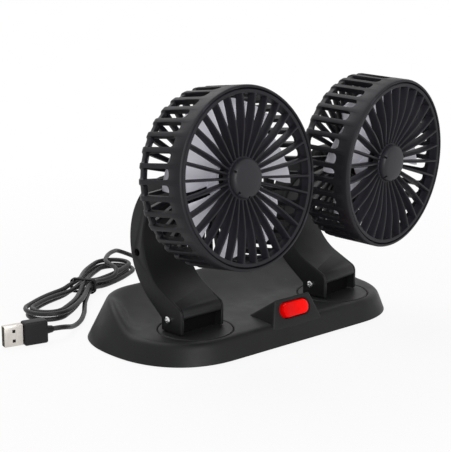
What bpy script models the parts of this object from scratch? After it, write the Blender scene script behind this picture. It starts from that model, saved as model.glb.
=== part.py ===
"""A desk fan with two drum heads, each on its own C arm and turntable, on one low corded base.

Metres, +Z up. The origin is the middle of the surface under the base. X runs along the base's length and
the heads blow towards -Y, the side of the rocker switch.
"""

import math

import bmesh
import bpy
from mathutils import Matrix, Vector

# Fits
FIT = 0.0003
RUNNING_FIT = 0.0004
OVERRUN = 0.002
MERGE = 0.0000005
SMOOTH_ANGLE = math.radians(38)
ROUND_STEPS = 20
DISC_STEPS = 36
FOOT_STEPS = 16
SCREW_STEPS = 10

# Drums side by side, which the base's length follows
DRUM_RADIUS = 0.0482
DRUM_SIDE_ROOM = 0.0058
SWIVEL_X = DRUM_RADIUS + DRUM_SIDE_ROOM
SWIVEL_END_ROOM = 0.0415

# Base shell, in plan
BASE_HALF_LENGTH = SWIVEL_X + SWIVEL_END_ROOM
BASE_HALF_DEPTH = 0.051
END_RADIUS = 0.0459
END_EXPONENT = 2.3
QUARTER_STEPS = 8

# Base shell, in section
SHELL_FOOT = 0.0006
DECK_HEIGHT = 0.0125
REAR_HEIGHT = 0.0252
DECK_BACK = -0.001
REAR_RIDGE = 0.039
RIDGE_RISE_START = -0.013
RIDGE_RISE_END = 0.024
FRONT_DRAFT = math.radians(18.5)
END_DRAFT = math.radians(25)
REAR_DRAFT = math.radians(26)
RIDGE_ROUND = 0.0026
WALL = 0.0024
CAVITY_SILL = 0.003
DECK_CURVE_SHARE = 1.5
TOP_SHARES = (0.86, 0.77, 0.68, 0.45, 0.0)
CAVITY_SHARES = (0.77, 0.5, 0.0)
RIM_SHARE = 0.68
EARLY_HEIGHT_SHARE = 0.85

# Switch hump and rocker
HUMP_FOOT_HALF_WIDTH = 0.0195
HUMP_TOP_HALF_WIDTH = 0.0135
HUMP_HEIGHT = 0.0252
HUMP_BACK = -0.022
HUMP_BACK_HALF_WIDTH = 0.0155
HUMP_PROUD = 0.0002
HUMP_ROUND = 0.0018
ROCKER_LENGTH = 0.0215
ROCKER_HEIGHT = 0.0084
ROCKER_CENTRE_HEIGHT = 0.0184
ROCKER_END_FIT = 0.0006
ROCKER_PROUD = 0.0016
ROCKER_HOLLOW = 0.0009
ROCKER_DEPTH = 0.0042
ROCKER_THROW = math.radians(6)
ROCKER_END_STEPS = 6
ROCKER_AXIS_DEPTH = 0.0015
TRUNNION_RADIUS = 0.0008
TRUNNION_REACH = 0.001
SWITCH_POCKET_DEPTH = 0.0085
SWITCH_BODY_DEPTH = 0.0022

# Bottom plate, feet and screws
PLATE_THICKNESS = 0.0018
FOOT_RADIUS = 0.006
FOOT_SEAT_DEPTH = 0.0008
FOOT_END_ROOM = 0.0275
FOOT_X = BASE_HALF_LENGTH - FOOT_END_ROOM
FOOT_Y = 0.026
FRONT_SCREW_X = 0.022
BACK_SCREW_END_ROOM = 0.0455
BOTTOM_SCREW_X = (FRONT_SCREW_X, BASE_HALF_LENGTH - BACK_SCREW_END_ROOM)
BOTTOM_SCREW_Y = (-0.036, 0.030)
SCREW_BOSS_RADIUS = 0.0036
BOTTOM_SCREW_RADIUS = 0.0012
BOTTOM_HEAD_RADIUS = 0.0026
BOTTOM_HEAD_HEIGHT = 0.0009
BOTTOM_SCREW_LENGTH = 0.0055

# Turntables
SWIVEL_Y = -0.0225
WELL_FLOOR = 0.0083
WELL_WALL = 0.0022
DISC_RADIUS = 0.0209
STUB_RADIUS = 0.008
STUB_DROP = 0.0002
RETAINER_RADIUS = 0.0105
RETAINER_THICKNESS = 0.0012
RETAINER_SCREW_RADIUS = 0.0016
RETAINER_SCREW_LENGTH = 0.0045
LEFT_SWIVEL = math.radians(2)
RIGHT_SWIVEL = math.radians(8)

# Arm mounts: a block on each turntable inside the arm's foot, places from the turntable's axis and the deck
MOUNT_HALF_WIDTH = 0.0135
MOUNT_FRONT = -0.0035
MOUNT_BACK = 0.0081
MOUNT_TOP = 0.0113
MOUNT_SCREW_Y = 0.0045
MOUNT_SCREW_RISE = 0.0073
MOUNT_SCREW_RADIUS = 0.0013
MOUNT_HEAD_RADIUS = 0.002
MOUNT_HEAD_HEIGHT = 0.0008
MOUNT_SCREW_GRIP = 0.005

# C arms: places from the turntable's axis and the deck
ARM_WIDTH = 0.032
ARM_OUTER_RADIUS = 0.0412
ARM_DEPTH = 0.0115
ARM_INNER_RADIUS = ARM_OUTER_RADIUS - ARM_DEPTH
ARM_CENTRE_Y = -0.0049
ARM_LIFT = 0.0065
ARM_CENTRE_RISE = ARM_OUTER_RADIUS + ARM_LIFT
ARM_FRONT = -0.006
ARM_BACK = 0.0104
HEEL_RISE = 0.0071
TOE_RADIUS = 0.005
TOE_RISE = 0.0108
WINDOW_TOP = 0.0075
ARM_EDGE_ROUND = 0.0008
ARM_ARC_STEP = math.radians(12)
TOE_ARC_STEP = math.radians(26)
ARM_SCREW_INSET = 0.0055
ARM_SCREW_PLACE_RADIUS = ARM_OUTER_RADIUS - ARM_SCREW_INSET
ARM_SCREW_ANGLE = math.radians(-11.8)
ARM_SCREW_RADIUS = 0.0019
ARM_SCREW_RECESS = 0.003
ARM_SCREW_LENGTH = 0.0015

# Head pivots
PIVOT_SHARES = (0.1140777, 0.9101942)
PIVOT_Y = ARM_CENTRE_Y + ARM_OUTER_RADIUS * PIVOT_SHARES[0]
PIVOT_RISE = ARM_CENTRE_RISE + ARM_OUTER_RADIUS * PIVOT_SHARES[1]
FORK_RADIUS = 0.0062
LUG_RADIUS = 0.0058
LUG_WIDTH = 0.012
LUG_SIDE_FIT = 0.0004
SLOT_BACK_FIT = 0.0009
RIVET_RADIUS = 0.002
RIVET_HEAD_RADIUS = 0.0034
RIVET_HEAD_HEIGHT = 0.0012
LEFT_PITCH = math.radians(7.2)
RIGHT_PITCH = math.radians(-2)

# Drum cages: depths count back from the plane of the front ring
DRUM_DEPTH = 0.034
DRUM_STAND_OFF = 0.0088
RING_REACH = DRUM_DEPTH + DRUM_STAND_OFF
BAND_DEPTH = 0.0084
BAND_BEVEL = 0.0012
BAND_RIM = 0.0017
SEAT_DEPTH = 0.0056
SLOT_COUNT = 36
BAR_WIDTH = 0.0026
BAR_THICKNESS = 0.003
SLOT_END_DEPTH = 0.0026
REAR_RIM_DEPTH = 0.0047
REAR_CORNER_RADIUS = 0.004
REAR_SLOT_INSET = 0.0052
REAR_SLOT_RADIUS = DRUM_RADIUS - REAR_SLOT_INSET
BAR_HUB_WIDTH = 0.0014
HUB_PLATE_RADIUS = 0.0138
HUB_PLATE_BORE = 0.006
SLOT_ARCH_SHARES = (0.3, 0.286)
BRACKET_FLANGE_RADIUS = 0.011
BRACKET_FLANGE = 0.0017
BRACKET_STEPS = 16

# Front grilles
VANE_COUNT = 30
GRILLE_RING_FIT = 0.0005
GRILLE_RING_WIDTH = 0.0022
GRILLE_FRONT = 0.0003
VANE_THICKNESS = 0.0014
VANE_HUB_THICKNESS = 0.0012
VANE_MIDDLE_RADIUS = 0.025
VANE_MIDDLE_FRONT = 0.0018
VANE_MIDDLE_BACK = 0.0062
GRILLE_HUB_RADIUS = 0.0114
GRILLE_HUB_FRONT = 0.0044
GRILLE_HUB_BACK = 0.0084
GRILLE_HUB_BORE = 0.005
CAP_RADIUS = 0.0106
CAP_FRONT = 0.0004
CAP_DOME = 0.0008
CAP_EDGE = 0.0012
CAP_PEG_LENGTH = 0.0035

# Motors and rotors
MOTOR_RADIUS = 0.0105
MOTOR_REACH = 0.0126
MOTOR_FRONT = DRUM_DEPTH - MOTOR_REACH
MOTOR_EDGE = 0.0012
SHAFT_RADIUS = 0.001
SHAFT_BORE_DEPTH = 0.0065
SHAFT_REACH_SHARE = 0.4642857
ROTOR_HUB_RADIUS = 0.0114
ROTOR_HUB_ROOM = 0.0009
ROTOR_HUB_FRONT = GRILLE_HUB_BACK + ROTOR_HUB_ROOM
ROTOR_HUB_BACK = MOTOR_FRONT - ROTOR_HUB_ROOM
SHAFT_FRONT = ROTOR_HUB_FRONT + (ROTOR_HUB_BACK - ROTOR_HUB_FRONT) * SHAFT_REACH_SHARE
ROTOR_HUB_DOME = 0.0014
COLLAR_THICKNESS = 0.0009
COLLAR_STEP = 0.0022
COLLAR_FRONT = ROTOR_HUB_FRONT + COLLAR_STEP
BLADE_COUNT = 7
BLADE_TIP_ROOM = 0.003
BLADE_TIP_RADIUS = DRUM_RADIUS - BAR_THICKNESS - BLADE_TIP_ROOM
BLADE_WIDTH_SHARES = (1.0, 1.0, 0.98, 0.88)
BLADE_STEP = 0.0019
BLADE_FRONT = ROTOR_HUB_FRONT + BLADE_STEP
BLADE_BACK = ROTOR_HUB_BACK
BLADE_THICKNESS = 0.0011
BLADE_SWEEP = math.radians(44)
BLADE_LEAN = math.radians(-10)
BLADE_CHORD_STEPS = 3
BLADE_PHASE = math.radians(172)

# Cord
CORD_RADIUS = 0.00145
CORD_LIE = 0.0016
GLAND_X = 0.012
GLAND_HEIGHT = 0.0064
GLAND_RADIUS = 0.0029
GLAND_TIP_RADIUS = 0.0021
GLAND_BACK = 0.057
GLAND_INSIDE = 0.0405
GLAND_FLANGE_RADIUS = 0.0036
GLAND_FLANGE = 0.002
LEAD_ROUTE = (
    (0.0135, 0.0720, 0.0044),
    (0.0190, 0.0900, 0.0021),
    (0.0270, 0.1100, CORD_LIE),
    (0.0345, 0.1310, CORD_LIE),
    (0.0385, 0.1480, 0.0019),
    (0.0375, 0.1570, 0.0032),
    (0.0315, 0.1603, 0.0060),
)
LEAD_OVER_HANK = (
    (0.0730, 0.0075, 0.0084),
    (0.0580, 0.0060, 0.0091),
    (0.0450, 0.0015, 0.0091),
    (0.0370, -0.0060, 0.0090),
    (0.0310, -0.0112, 0.0082),
    (0.0250, -0.0124, 0.0062),
)
TAIL_ROUTE = (
    (-0.0540, 0.0820, CORD_LIE),
    (-0.0635, 0.0695, CORD_LIE),
    (-0.0748, 0.0580, CORD_LIE),
    (-0.0840, 0.0510, 0.0026),
)
LEAD_POINTS = 30
TAIL_POINTS = 15

# Hank: its own axis runs from the near end to the far end
HANK_CENTRE = (-0.036, 0.110)
HANK_ANGLE = math.radians(31.5)
HANK_HALF_LENGTH = 0.066
HANK_FOLD_RADIUS = 0.0087
HANK_STEP = 0.0039
HANK_LAYER = 0.0039
HANK_LOOPS = 3
HANK_DRAW = 0.0079
HANK_WAIST_LENGTH = 0.024
HANK_LIFT = 0.0014
HANK_LIFT_LENGTH = 0.011
HANK_RUN_SHARE = 7 / 24
HANK_LOOP_POINTS = 24
HANK_START = 0.018
TIE_THICKNESS = 0.0009
TIE_WIDTH = 0.0034

# Plug, lying on its edge
PLUG_X = -0.107
PLUG_Y = 0.0451
PLUG_ANGLE = math.radians(168)
PLUG_BODY_LENGTH = 0.014
PLUG_BODY_ROUND = 0.0012
PLUG_BODY_HEIGHT = 0.0134
PLUG_BODY_THICKNESS = 0.0074
PLUG_NECK_RADIUS = 0.0026
PLUG_NECK_LENGTH = 0.004
PLUG_SHELL_LENGTH = 0.0113
PLUG_SHELL_HEIGHT = 0.012
PLUG_SHELL_THICKNESS = 0.0045
PLUG_SHELL_WALL = 0.0003
PLUG_TONGUE_THICKNESS = 0.0018
PLUG_WINDOW = 0.0022
PLUG_WINDOW_SPACING = 0.0058
PLUG_SOCKET_DEPTH = 0.004

# Finishes: colour, roughness, metallic
BLACK_SATIN = ((0.018, 0.018, 0.020), 0.42, 0.0)
BLACK_MATT = ((0.012, 0.012, 0.013), 0.7, 0.0)
RUBBER = ((0.02, 0.02, 0.02), 0.85, 0.0)
RED_GLOSS = ((0.85, 0.01, 0.01), 0.25, 0.0)
PALE_LILAC = ((0.52, 0.49, 0.56), 0.45, 0.0)
STEEL = ((0.72, 0.72, 0.74), 0.3, 1.0)
CORD_BLACK = ((0.02, 0.02, 0.022), 0.5, 0.0)
PLUG_WHITE = ((0.85, 0.84, 0.82), 0.5, 0.0)

AXES = {"X": Vector((1, 0, 0)), "Y": Vector((0, 1, 0)), "Z": Vector((0, 0, 1))}
RADIALS = {"X": Vector((0, 0, 1)), "Y": Vector((1, 0, 0)), "Z": Vector((1, 0, 0))}


def clear_scene():
    """Remove whatever the scene holds."""
    for found in list(bpy.data.objects):
        bpy.data.objects.remove(found, do_unlink=True)


def finish(name, look):
    """A material with the piece's own colour, roughness and metallic value."""
    colour, roughness, metallic = look
    material = bpy.data.materials.new(name + "_finish")
    material.use_nodes = True
    shader = material.node_tree.nodes["Principled BSDF"]
    shader.inputs["Base Color"].default_value = (*colour, 1.0)
    shader.inputs["Roughness"].default_value = roughness
    shader.inputs["Metallic"].default_value = metallic
    material.diffuse_color = (*colour, 1.0)
    return material


def add(name, bm, look, parent=None, location=(0, 0, 0), rotation=(0, 0, 0)):
    """Make an object of this mesh, smooth where it is round."""
    bmesh.ops.recalc_face_normals(bm, faces=bm.faces)
    mesh = bpy.data.meshes.new(name)
    bm.to_mesh(mesh)
    bm.free()
    mesh.shade_smooth()
    mesh.set_sharp_from_angle(angle=SMOOTH_ANGLE)
    mesh.materials.append(finish(name, look))
    piece = bpy.data.objects.new(name, mesh)
    piece.parent = parent
    piece.location = location
    piece.rotation_euler = rotation
    bpy.context.collection.objects.link(piece)
    return piece


def axis_empty(name, location, parent=None, rotation=(0, 0, 0)):
    """An empty that carries the pieces that move about this place."""
    empty = bpy.data.objects.new(name, None)
    empty.empty_display_size = FIT
    empty.parent = parent
    empty.location = location
    empty.rotation_euler = rotation
    bpy.context.collection.objects.link(empty)
    return empty


def combine(target, bm, operation, parent=None):
    """Cut this mesh from the target, or join it on."""
    tool = add(f"{target.name}_{operation.lower()}_{len(target.modifiers)}", bm, BLACK_MATT, parent)
    tool.hide_render = True
    tool.display_type = "WIRE"
    boolean = target.modifiers.new(operation.lower(), "BOOLEAN")
    boolean.operation = operation
    boolean.solver = "EXACT"
    boolean.object = tool
    return tool


def soften(target, width, segments, angle):
    """Round the target's edges that are sharper than the angle."""
    bevel = target.modifiers.new("rounding", "BEVEL")
    bevel.width = width
    bevel.segments = segments
    bevel.limit_method = "ANGLE"
    bevel.angle_limit = angle
    return bevel


def turned(profile, axis, steps=ROUND_STEPS):
    """A solid of revolution. The profile holds (radius, place along the axis), in order round the section."""
    bm = bmesh.new()
    along, radial = AXES[axis], RADIALS[axis]
    verts = [bm.verts.new(radial * radius + along * place) for radius, place in profile]
    pairs = list(zip(verts, verts[1:]))
    if min(radius for radius, _ in profile) > 0:
        pairs.append((verts[-1], verts[0]))
    edges = [bm.edges.new(pair) for pair in pairs]
    bmesh.ops.spin(
        bm, geom=verts + edges, cent=(0, 0, 0), axis=along, angle=math.tau, steps=steps, use_merge=True
    )
    bmesh.ops.remove_doubles(bm, verts=bm.verts, dist=MERGE)
    return bm


def rod(axis, radius, start, end, steps=ROUND_STEPS, centre=(0, 0, 0)):
    """A plain round bar or hole along an axis."""
    bm = turned([(0, start), (radius, start), (radius, end), (0, end)], axis, steps)
    bmesh.ops.translate(bm, verts=bm.verts, vec=centre)
    return bm


def place(axis, first, second, along):
    """A point from its two places across an axis and its place along it."""
    return {
        "X": Vector((along, first, second)),
        "Y": Vector((first, along, second)),
        "Z": Vector((first, second, along)),
    }[axis]


def prism(axis, outline, start, end):
    """An outline pushed along an axis."""
    bm = bmesh.new()
    face = bm.faces.new([bm.verts.new(place(axis, first, second, start)) for first, second in outline])
    pushed = bmesh.ops.extrude_face_region(bm, geom=[face])["geom"]
    verts = [found for found in pushed if isinstance(found, bmesh.types.BMVert)]
    bmesh.ops.translate(bm, verts=verts, vec=AXES[axis] * (end - start))
    return bm


def box(low, high):
    """A block between two corners."""
    outline = [(low[0], low[1]), (high[0], low[1]), (high[0], high[1]), (low[0], high[1])]
    return prism("Z", outline, low[2], high[2])


def merged(meshes):
    """Several shells in one mesh."""
    whole = bmesh.new()
    for bm in meshes:
        mesh = bpy.data.meshes.new("shell")
        bm.to_mesh(mesh)
        bm.free()
        whole.from_mesh(mesh)
        bpy.data.meshes.remove(mesh)
    return whole


def arc(centre, radius, start, end, largest_step):
    """Points of an arc, both ends among them."""
    steps = max(2, math.ceil(abs(end - start) / largest_step))
    turns = [start + (end - start) * step / steps for step in range(steps + 1)]
    return [(centre[0] + radius * math.cos(turn), centre[1] + radius * math.sin(turn)) for turn in turns]


def stadium(half_length, half_height):
    """A slot outline with round ends and a point in the middle of each long side."""
    reach = half_length - half_height
    step = math.pi / ROCKER_END_STEPS
    right = arc((reach, 0), half_height, -math.pi / 2, math.pi / 2, step)
    left = arc((-reach, 0), half_height, math.pi / 2, math.pi * 3 / 2, step)
    return right + [(0, half_height)] + left + [(0, -half_height)]


def smooth_step(share):
    """A soft rise from nought to one."""
    share = min(1, max(0, share))
    return share * share * (3 - 2 * share)


# Base shell


def draft_at(front_to_back):
    """The slope of the base's wall, from -1 at the front through 0 at the ends to 1 at the back."""
    far = FRONT_DRAFT if front_to_back < 0 else REAR_DRAFT
    return END_DRAFT + (far - END_DRAFT) * abs(front_to_back)


def deck_height(y):
    """The deck is level round the turntables and curves up to the back."""
    rise = max(0, (y - DECK_BACK) / (REAR_RIDGE - DECK_BACK))
    return DECK_HEIGHT + (REAR_HEIGHT - DECK_HEIGHT) * rise**DECK_CURVE_SHARE


def ridge_height(y):
    """The ridge between wall and deck rises along the ends."""
    rise = (y - RIDGE_RISE_START) / (RIDGE_RISE_END - RIDGE_RISE_START)
    return DECK_HEIGHT + (REAR_HEIGHT - DECK_HEIGHT) * smooth_step(rise)


def plan_turns():
    """The outline's points: the side of each on X and Y, and its turn within the quarter."""
    rising = [math.pi / 2 * step / QUARTER_STEPS for step in range(QUARTER_STEPS + 1)]
    falling = rising[::-1]
    quarters = [(1, 1, rising), (-1, 1, falling), (-1, -1, rising[1:]), (1, -1, falling[:-1])]
    return [(side_x, side_y, turn) for side_x, side_y, turns in quarters for turn in turns]


def plan_point(side_x, side_y, turn, inset):
    """A point of the base's outline, drawn in by an inset."""
    power = 2 / END_EXPONENT
    x = BASE_HALF_LENGTH - END_RADIUS + (END_RADIUS - inset) * math.cos(turn) ** power
    y = (BASE_HALF_DEPTH - inset) * math.sin(turn) ** power
    return Vector((side_x * x, side_y * y, 0))


def base_section(side_x, side_y, turn, wall):
    """Points up the wall and in over the deck. A wall above nought gives the cavity's section."""
    slope = math.tan(draft_at(side_y * math.sin(turn) ** (2 / END_EXPONENT)))
    foot = plan_point(side_x, side_y, turn, wall)
    corner = foot * EARLY_HEIGHT_SHARE
    for _ in range(2):
        height = ridge_height(corner.y) - wall
        corner = plan_point(side_x, side_y, turn, wall + (height - SHELL_FOOT) * slope)
    corner.z = height
    spine = Vector((side_x * min(abs(corner.x), BASE_HALF_LENGTH - END_RADIUS), 0, 0))
    rise = ridge_height(corner.y) - deck_height(corner.y)

    def over_deck(share):
        point = spine + (Vector((corner.x, corner.y, 0)) - spine) * share
        rim = smooth_step((share - RIM_SHARE) / (1 - RIM_SHARE))
        point.z = deck_height(point.y) + rise * rim - wall
        return point

    if wall:
        sill = plan_point(side_x, side_y, turn, wall + (CAVITY_SILL - SHELL_FOOT) * slope)
        below = [sill + Vector((0, 0, SHELL_FOOT - OVERRUN)), sill + Vector((0, 0, CAVITY_SILL))]
        return below + [corner] + [over_deck(share) for share in CAVITY_SHARES]
    below = foot + Vector((0, 0, SHELL_FOOT))
    start = corner + (below - corner).normalized() * RIDGE_ROUND
    inner = over_deck(1 - RIDGE_ROUND / (corner.xy - spine.xy).length)
    middle = (start + corner * 2 + inner) / 4
    return [below, start, middle, inner] + [over_deck(share) for share in TOP_SHARES]


def base_form(wall=0):
    """The base's outer form, or with a wall the room inside it."""
    bm = bmesh.new()
    sections = [base_section(*turn, wall) for turn in plan_turns()]
    rings = [[bm.verts.new(section[level]) for section in sections] for level in range(len(sections[0]))]
    for lower, upper in zip(rings, rings[1:]):
        for step in range(len(lower)):
            bm.faces.new((lower[step - 1], lower[step], upper[step], upper[step - 1]))
    bm.faces.new(rings[0][::-1])
    bmesh.ops.remove_doubles(bm, verts=bm.verts, dist=MERGE * 10)
    return bm


def front_wall_y(height):
    """Where the front wall's plane lies at a height."""
    return -BASE_HALF_DEPTH + (height - SHELL_FOOT) * math.tan(FRONT_DRAFT)


def hump_form():
    """The switch hump: its face carries the front wall on upwards, and its top falls back to the deck."""
    buried = DECK_HEIGHT - RIDGE_ROUND
    sunk = DECK_HEIGHT - WALL / 2
    corners = [
        (HUMP_FOOT_HALF_WIDTH, front_wall_y(buried) - HUMP_PROUD, buried),
        (HUMP_TOP_HALF_WIDTH, front_wall_y(HUMP_HEIGHT) - HUMP_PROUD, HUMP_HEIGHT),
        (HUMP_BACK_HALF_WIDTH, HUMP_BACK, sunk),
        (HUMP_BACK_HALF_WIDTH, HUMP_BACK, buried),
    ]
    bm = bmesh.new()
    for x, y, z in corners:
        bm.verts.new((x, y, z))
        bm.verts.new((-x, y, z))
    bmesh.ops.convex_hull(bm, input=bm.verts)
    bmesh.ops.dissolve_limit(bm, angle_limit=math.radians(1), verts=bm.verts, edges=bm.edges)
    return bm


def rocker_frame():
    """The rocker's axis: its local -Y looks out of the front wall and its Z runs up the wall."""
    face = Vector((0, front_wall_y(ROCKER_CENTRE_HEIGHT) - HUMP_PROUD, ROCKER_CENTRE_HEIGHT))
    inward = Vector((0, math.cos(FRONT_DRAFT), -math.sin(FRONT_DRAFT)))
    return axis_empty("rocker_axis", face + inward * ROCKER_AXIS_DEPTH, rotation=(-FRONT_DRAFT, 0, 0))


def make_base(rocker_axis):
    """The shell with its wells, bosses and switch pocket."""
    shell = add("base_shell", base_form(), BLACK_SATIN)
    hump = combine(shell, hump_form(), "UNION")
    soften(hump, HUMP_ROUND, 3, math.radians(20))
    combine(shell, base_form(WALL), "DIFFERENCE")
    well = DISC_RADIUS + RUNNING_FIT
    floor_under = WELL_FLOOR - WELL_WALL
    bosses = []
    for side in (-1, 1):
        centre = (side * SWIVEL_X, SWIVEL_Y, 0)
        bosses.append(rod("Z", well + WELL_WALL, floor_under, DECK_HEIGHT - WALL / 2, DISC_STEPS, centre))
        for x, y in zip(BOTTOM_SCREW_X, BOTTOM_SCREW_Y):
            top = deck_height(y) - WALL / 2
            bosses.append(rod("Z", SCREW_BOSS_RADIUS, plate_top() + FIT, top, SCREW_STEPS, (side * x, y, 0)))
    combine(shell, merged(bosses), "UNION")
    holes = []
    for side in (-1, 1):
        centre = (side * SWIVEL_X, SWIVEL_Y, 0)
        seat = turned(
            [
                (0, floor_under - OVERRUN),
                (STUB_RADIUS + FIT, floor_under - OVERRUN),
                (STUB_RADIUS + FIT, WELL_FLOOR),
                (well, WELL_FLOOR),
                (well, DECK_HEIGHT + OVERRUN),
                (0, DECK_HEIGHT + OVERRUN),
            ],
            "Z",
            DISC_STEPS,
        )
        bmesh.ops.translate(seat, verts=seat.verts, vec=centre)
        holes.append(seat)
        for x, y in zip(BOTTOM_SCREW_X, BOTTOM_SCREW_Y):
            top = plate_top() + BOTTOM_SCREW_LENGTH
            radius = BOTTOM_SCREW_RADIUS + FIT
            holes.append(rod("Z", radius, plate_top() - OVERRUN, top, SCREW_STEPS, (side * x, y, 0)))
    holes.append(rod("Y", GLAND_RADIUS + FIT, GLAND_INSIDE, GLAND_BACK, ROUND_STEPS, (GLAND_X, 0, GLAND_HEIGHT)))
    combine(shell, merged(holes), "DIFFERENCE")
    pocket = prism(
        "Y",
        stadium(ROCKER_LENGTH / 2 + ROCKER_END_FIT, ROCKER_HEIGHT / 2 + RUNNING_FIT),
        -ROCKER_AXIS_DEPTH - ROCKER_PROUD - OVERRUN,
        SWITCH_POCKET_DEPTH - ROCKER_AXIS_DEPTH,
    )
    combine(shell, pocket, "DIFFERENCE", rocker_axis)
    seat_reach = ROCKER_HEIGHT / 2 + RUNNING_FIT + TRUNNION_REACH + FIT
    seat = rod("Z", TRUNNION_RADIUS + FIT, -seat_reach, seat_reach, SCREW_STEPS)
    combine(shell, seat, "DIFFERENCE", rocker_axis)
    return shell


def make_switch(rocker_axis):
    """The red rocker on its trunnions, and the switch body at the back of its pocket."""
    outline = stadium(ROCKER_LENGTH / 2, ROCKER_HEIGHT / 2)
    bm = bmesh.new()
    back = [bm.verts.new((x, ROCKER_DEPTH - ROCKER_AXIS_DEPTH, z)) for x, z in outline]
    front = []
    for x, z in outline:
        dip = ROCKER_HOLLOW * (1 - abs(x) / (ROCKER_LENGTH / 2))
        front.append(bm.verts.new((x, dip - ROCKER_AXIS_DEPTH - ROCKER_PROUD, z)))
    for step in range(len(outline)):
        bm.faces.new((back[step - 1], back[step], front[step], front[step - 1]))
    bm.faces.new(back)
    top, bottom = outline.index((0, ROCKER_HEIGHT / 2)), outline.index((0, -ROCKER_HEIGHT / 2))
    bm.faces.new([front[bottom]] + front[: top + 1])
    bm.faces.new(front[top : bottom + 1])
    rocker = add("rocker_switch", bm, RED_GLOSS, rocker_axis, rotation=(0, 0, ROCKER_THROW))
    reach = ROCKER_HEIGHT / 2 + RUNNING_FIT + TRUNNION_REACH
    combine(rocker, rod("Z", TRUNNION_RADIUS, -reach, reach, SCREW_STEPS), "UNION", rocker_axis)
    back_wall = SWITCH_POCKET_DEPTH - ROCKER_AXIS_DEPTH - FIT
    body = prism(
        "Y",
        stadium(ROCKER_LENGTH / 2 + ROCKER_END_FIT - FIT, ROCKER_HEIGHT / 2 + RUNNING_FIT - FIT),
        back_wall - SWITCH_BODY_DEPTH,
        back_wall,
    )
    add("switch_body", body, BLACK_MATT, rocker_axis)


def plate_top():
    """The height of the bottom plate's upper face."""
    return SHELL_FOOT + PLATE_THICKNESS


def make_bottom():
    """The bottom plate, its screws and the rubber feet."""
    outline = []
    for side_x, side_y, turn in plan_turns():
        slope = math.tan(draft_at(side_y * math.sin(turn) ** (2 / END_EXPONENT)))
        outline.append(plan_point(side_x, side_y, turn, WALL + (CAVITY_SILL - SHELL_FOOT) * slope + FIT))
    plate_prism = prism("Z", [point.xy for point in outline], SHELL_FOOT, plate_top())
    plate = add("bottom_plate", plate_prism, BLACK_MATT)
    cuts = []
    seat_top = SHELL_FOOT + FOOT_SEAT_DEPTH
    head_top = SHELL_FOOT + BOTTOM_HEAD_HEIGHT
    for side_x in (-1, 1):
        for side_y in (-1, 1):
            centre = (side_x * FOOT_X, side_y * FOOT_Y, 0)
            cuts.append(rod("Z", FOOT_RADIUS + FIT, SHELL_FOOT - OVERRUN, seat_top, FOOT_STEPS, centre))
            name = f"foot_{'left' if side_x < 0 else 'right'}_{'front' if side_y < 0 else 'back'}"
            add(name, rod("Z", FOOT_RADIUS, 0, seat_top - FIT, FOOT_STEPS), RUBBER, location=centre)
        for x, y in zip(BOTTOM_SCREW_X, BOTTOM_SCREW_Y):
            centre = (side_x * x, y, 0)
            opening = [
                (0, SHELL_FOOT - OVERRUN),
                (BOTTOM_HEAD_RADIUS + FIT, SHELL_FOOT - OVERRUN),
                (BOTTOM_HEAD_RADIUS + FIT, head_top + FIT),
                (BOTTOM_SCREW_RADIUS + FIT, head_top + FIT),
                (BOTTOM_SCREW_RADIUS + FIT, plate_top() + OVERRUN),
                (0, plate_top() + OVERRUN),
            ]
            hole = turned(opening, "Z", SCREW_STEPS)
            bmesh.ops.translate(hole, verts=hole.verts, vec=centre)
            cuts.append(hole)
            profile = [
                (0, SHELL_FOOT),
                (BOTTOM_HEAD_RADIUS, SHELL_FOOT),
                (BOTTOM_HEAD_RADIUS, head_top),
                (BOTTOM_SCREW_RADIUS, head_top),
                (BOTTOM_SCREW_RADIUS, plate_top() + BOTTOM_SCREW_LENGTH - FIT),
                (0, plate_top() + BOTTOM_SCREW_LENGTH - FIT),
            ]
            name = f"bottom_screw_{'left' if side_x < 0 else 'right'}_{'front' if y < 0 else 'back'}"
            add(name, turned(profile, "Z", SCREW_STEPS), STEEL, location=centre)
    combine(plate, merged(cuts), "DIFFERENCE")


def make_gland():
    """The strain relief, flanged inside the back wall and tapered outside it."""
    flange_back = GLAND_INSIDE + GLAND_FLANGE
    profile = [
        (0, GLAND_INSIDE),
        (GLAND_FLANGE_RADIUS, GLAND_INSIDE),
        (GLAND_FLANGE_RADIUS, flange_back),
        (GLAND_RADIUS, flange_back),
        (GLAND_RADIUS, BASE_HALF_DEPTH),
        (GLAND_TIP_RADIUS, GLAND_BACK),
        (0, GLAND_BACK),
    ]
    add("cord_gland", turned(profile, "Y"), BLACK_MATT, location=(GLAND_X, 0, GLAND_HEIGHT))


# Turntables and arms


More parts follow.
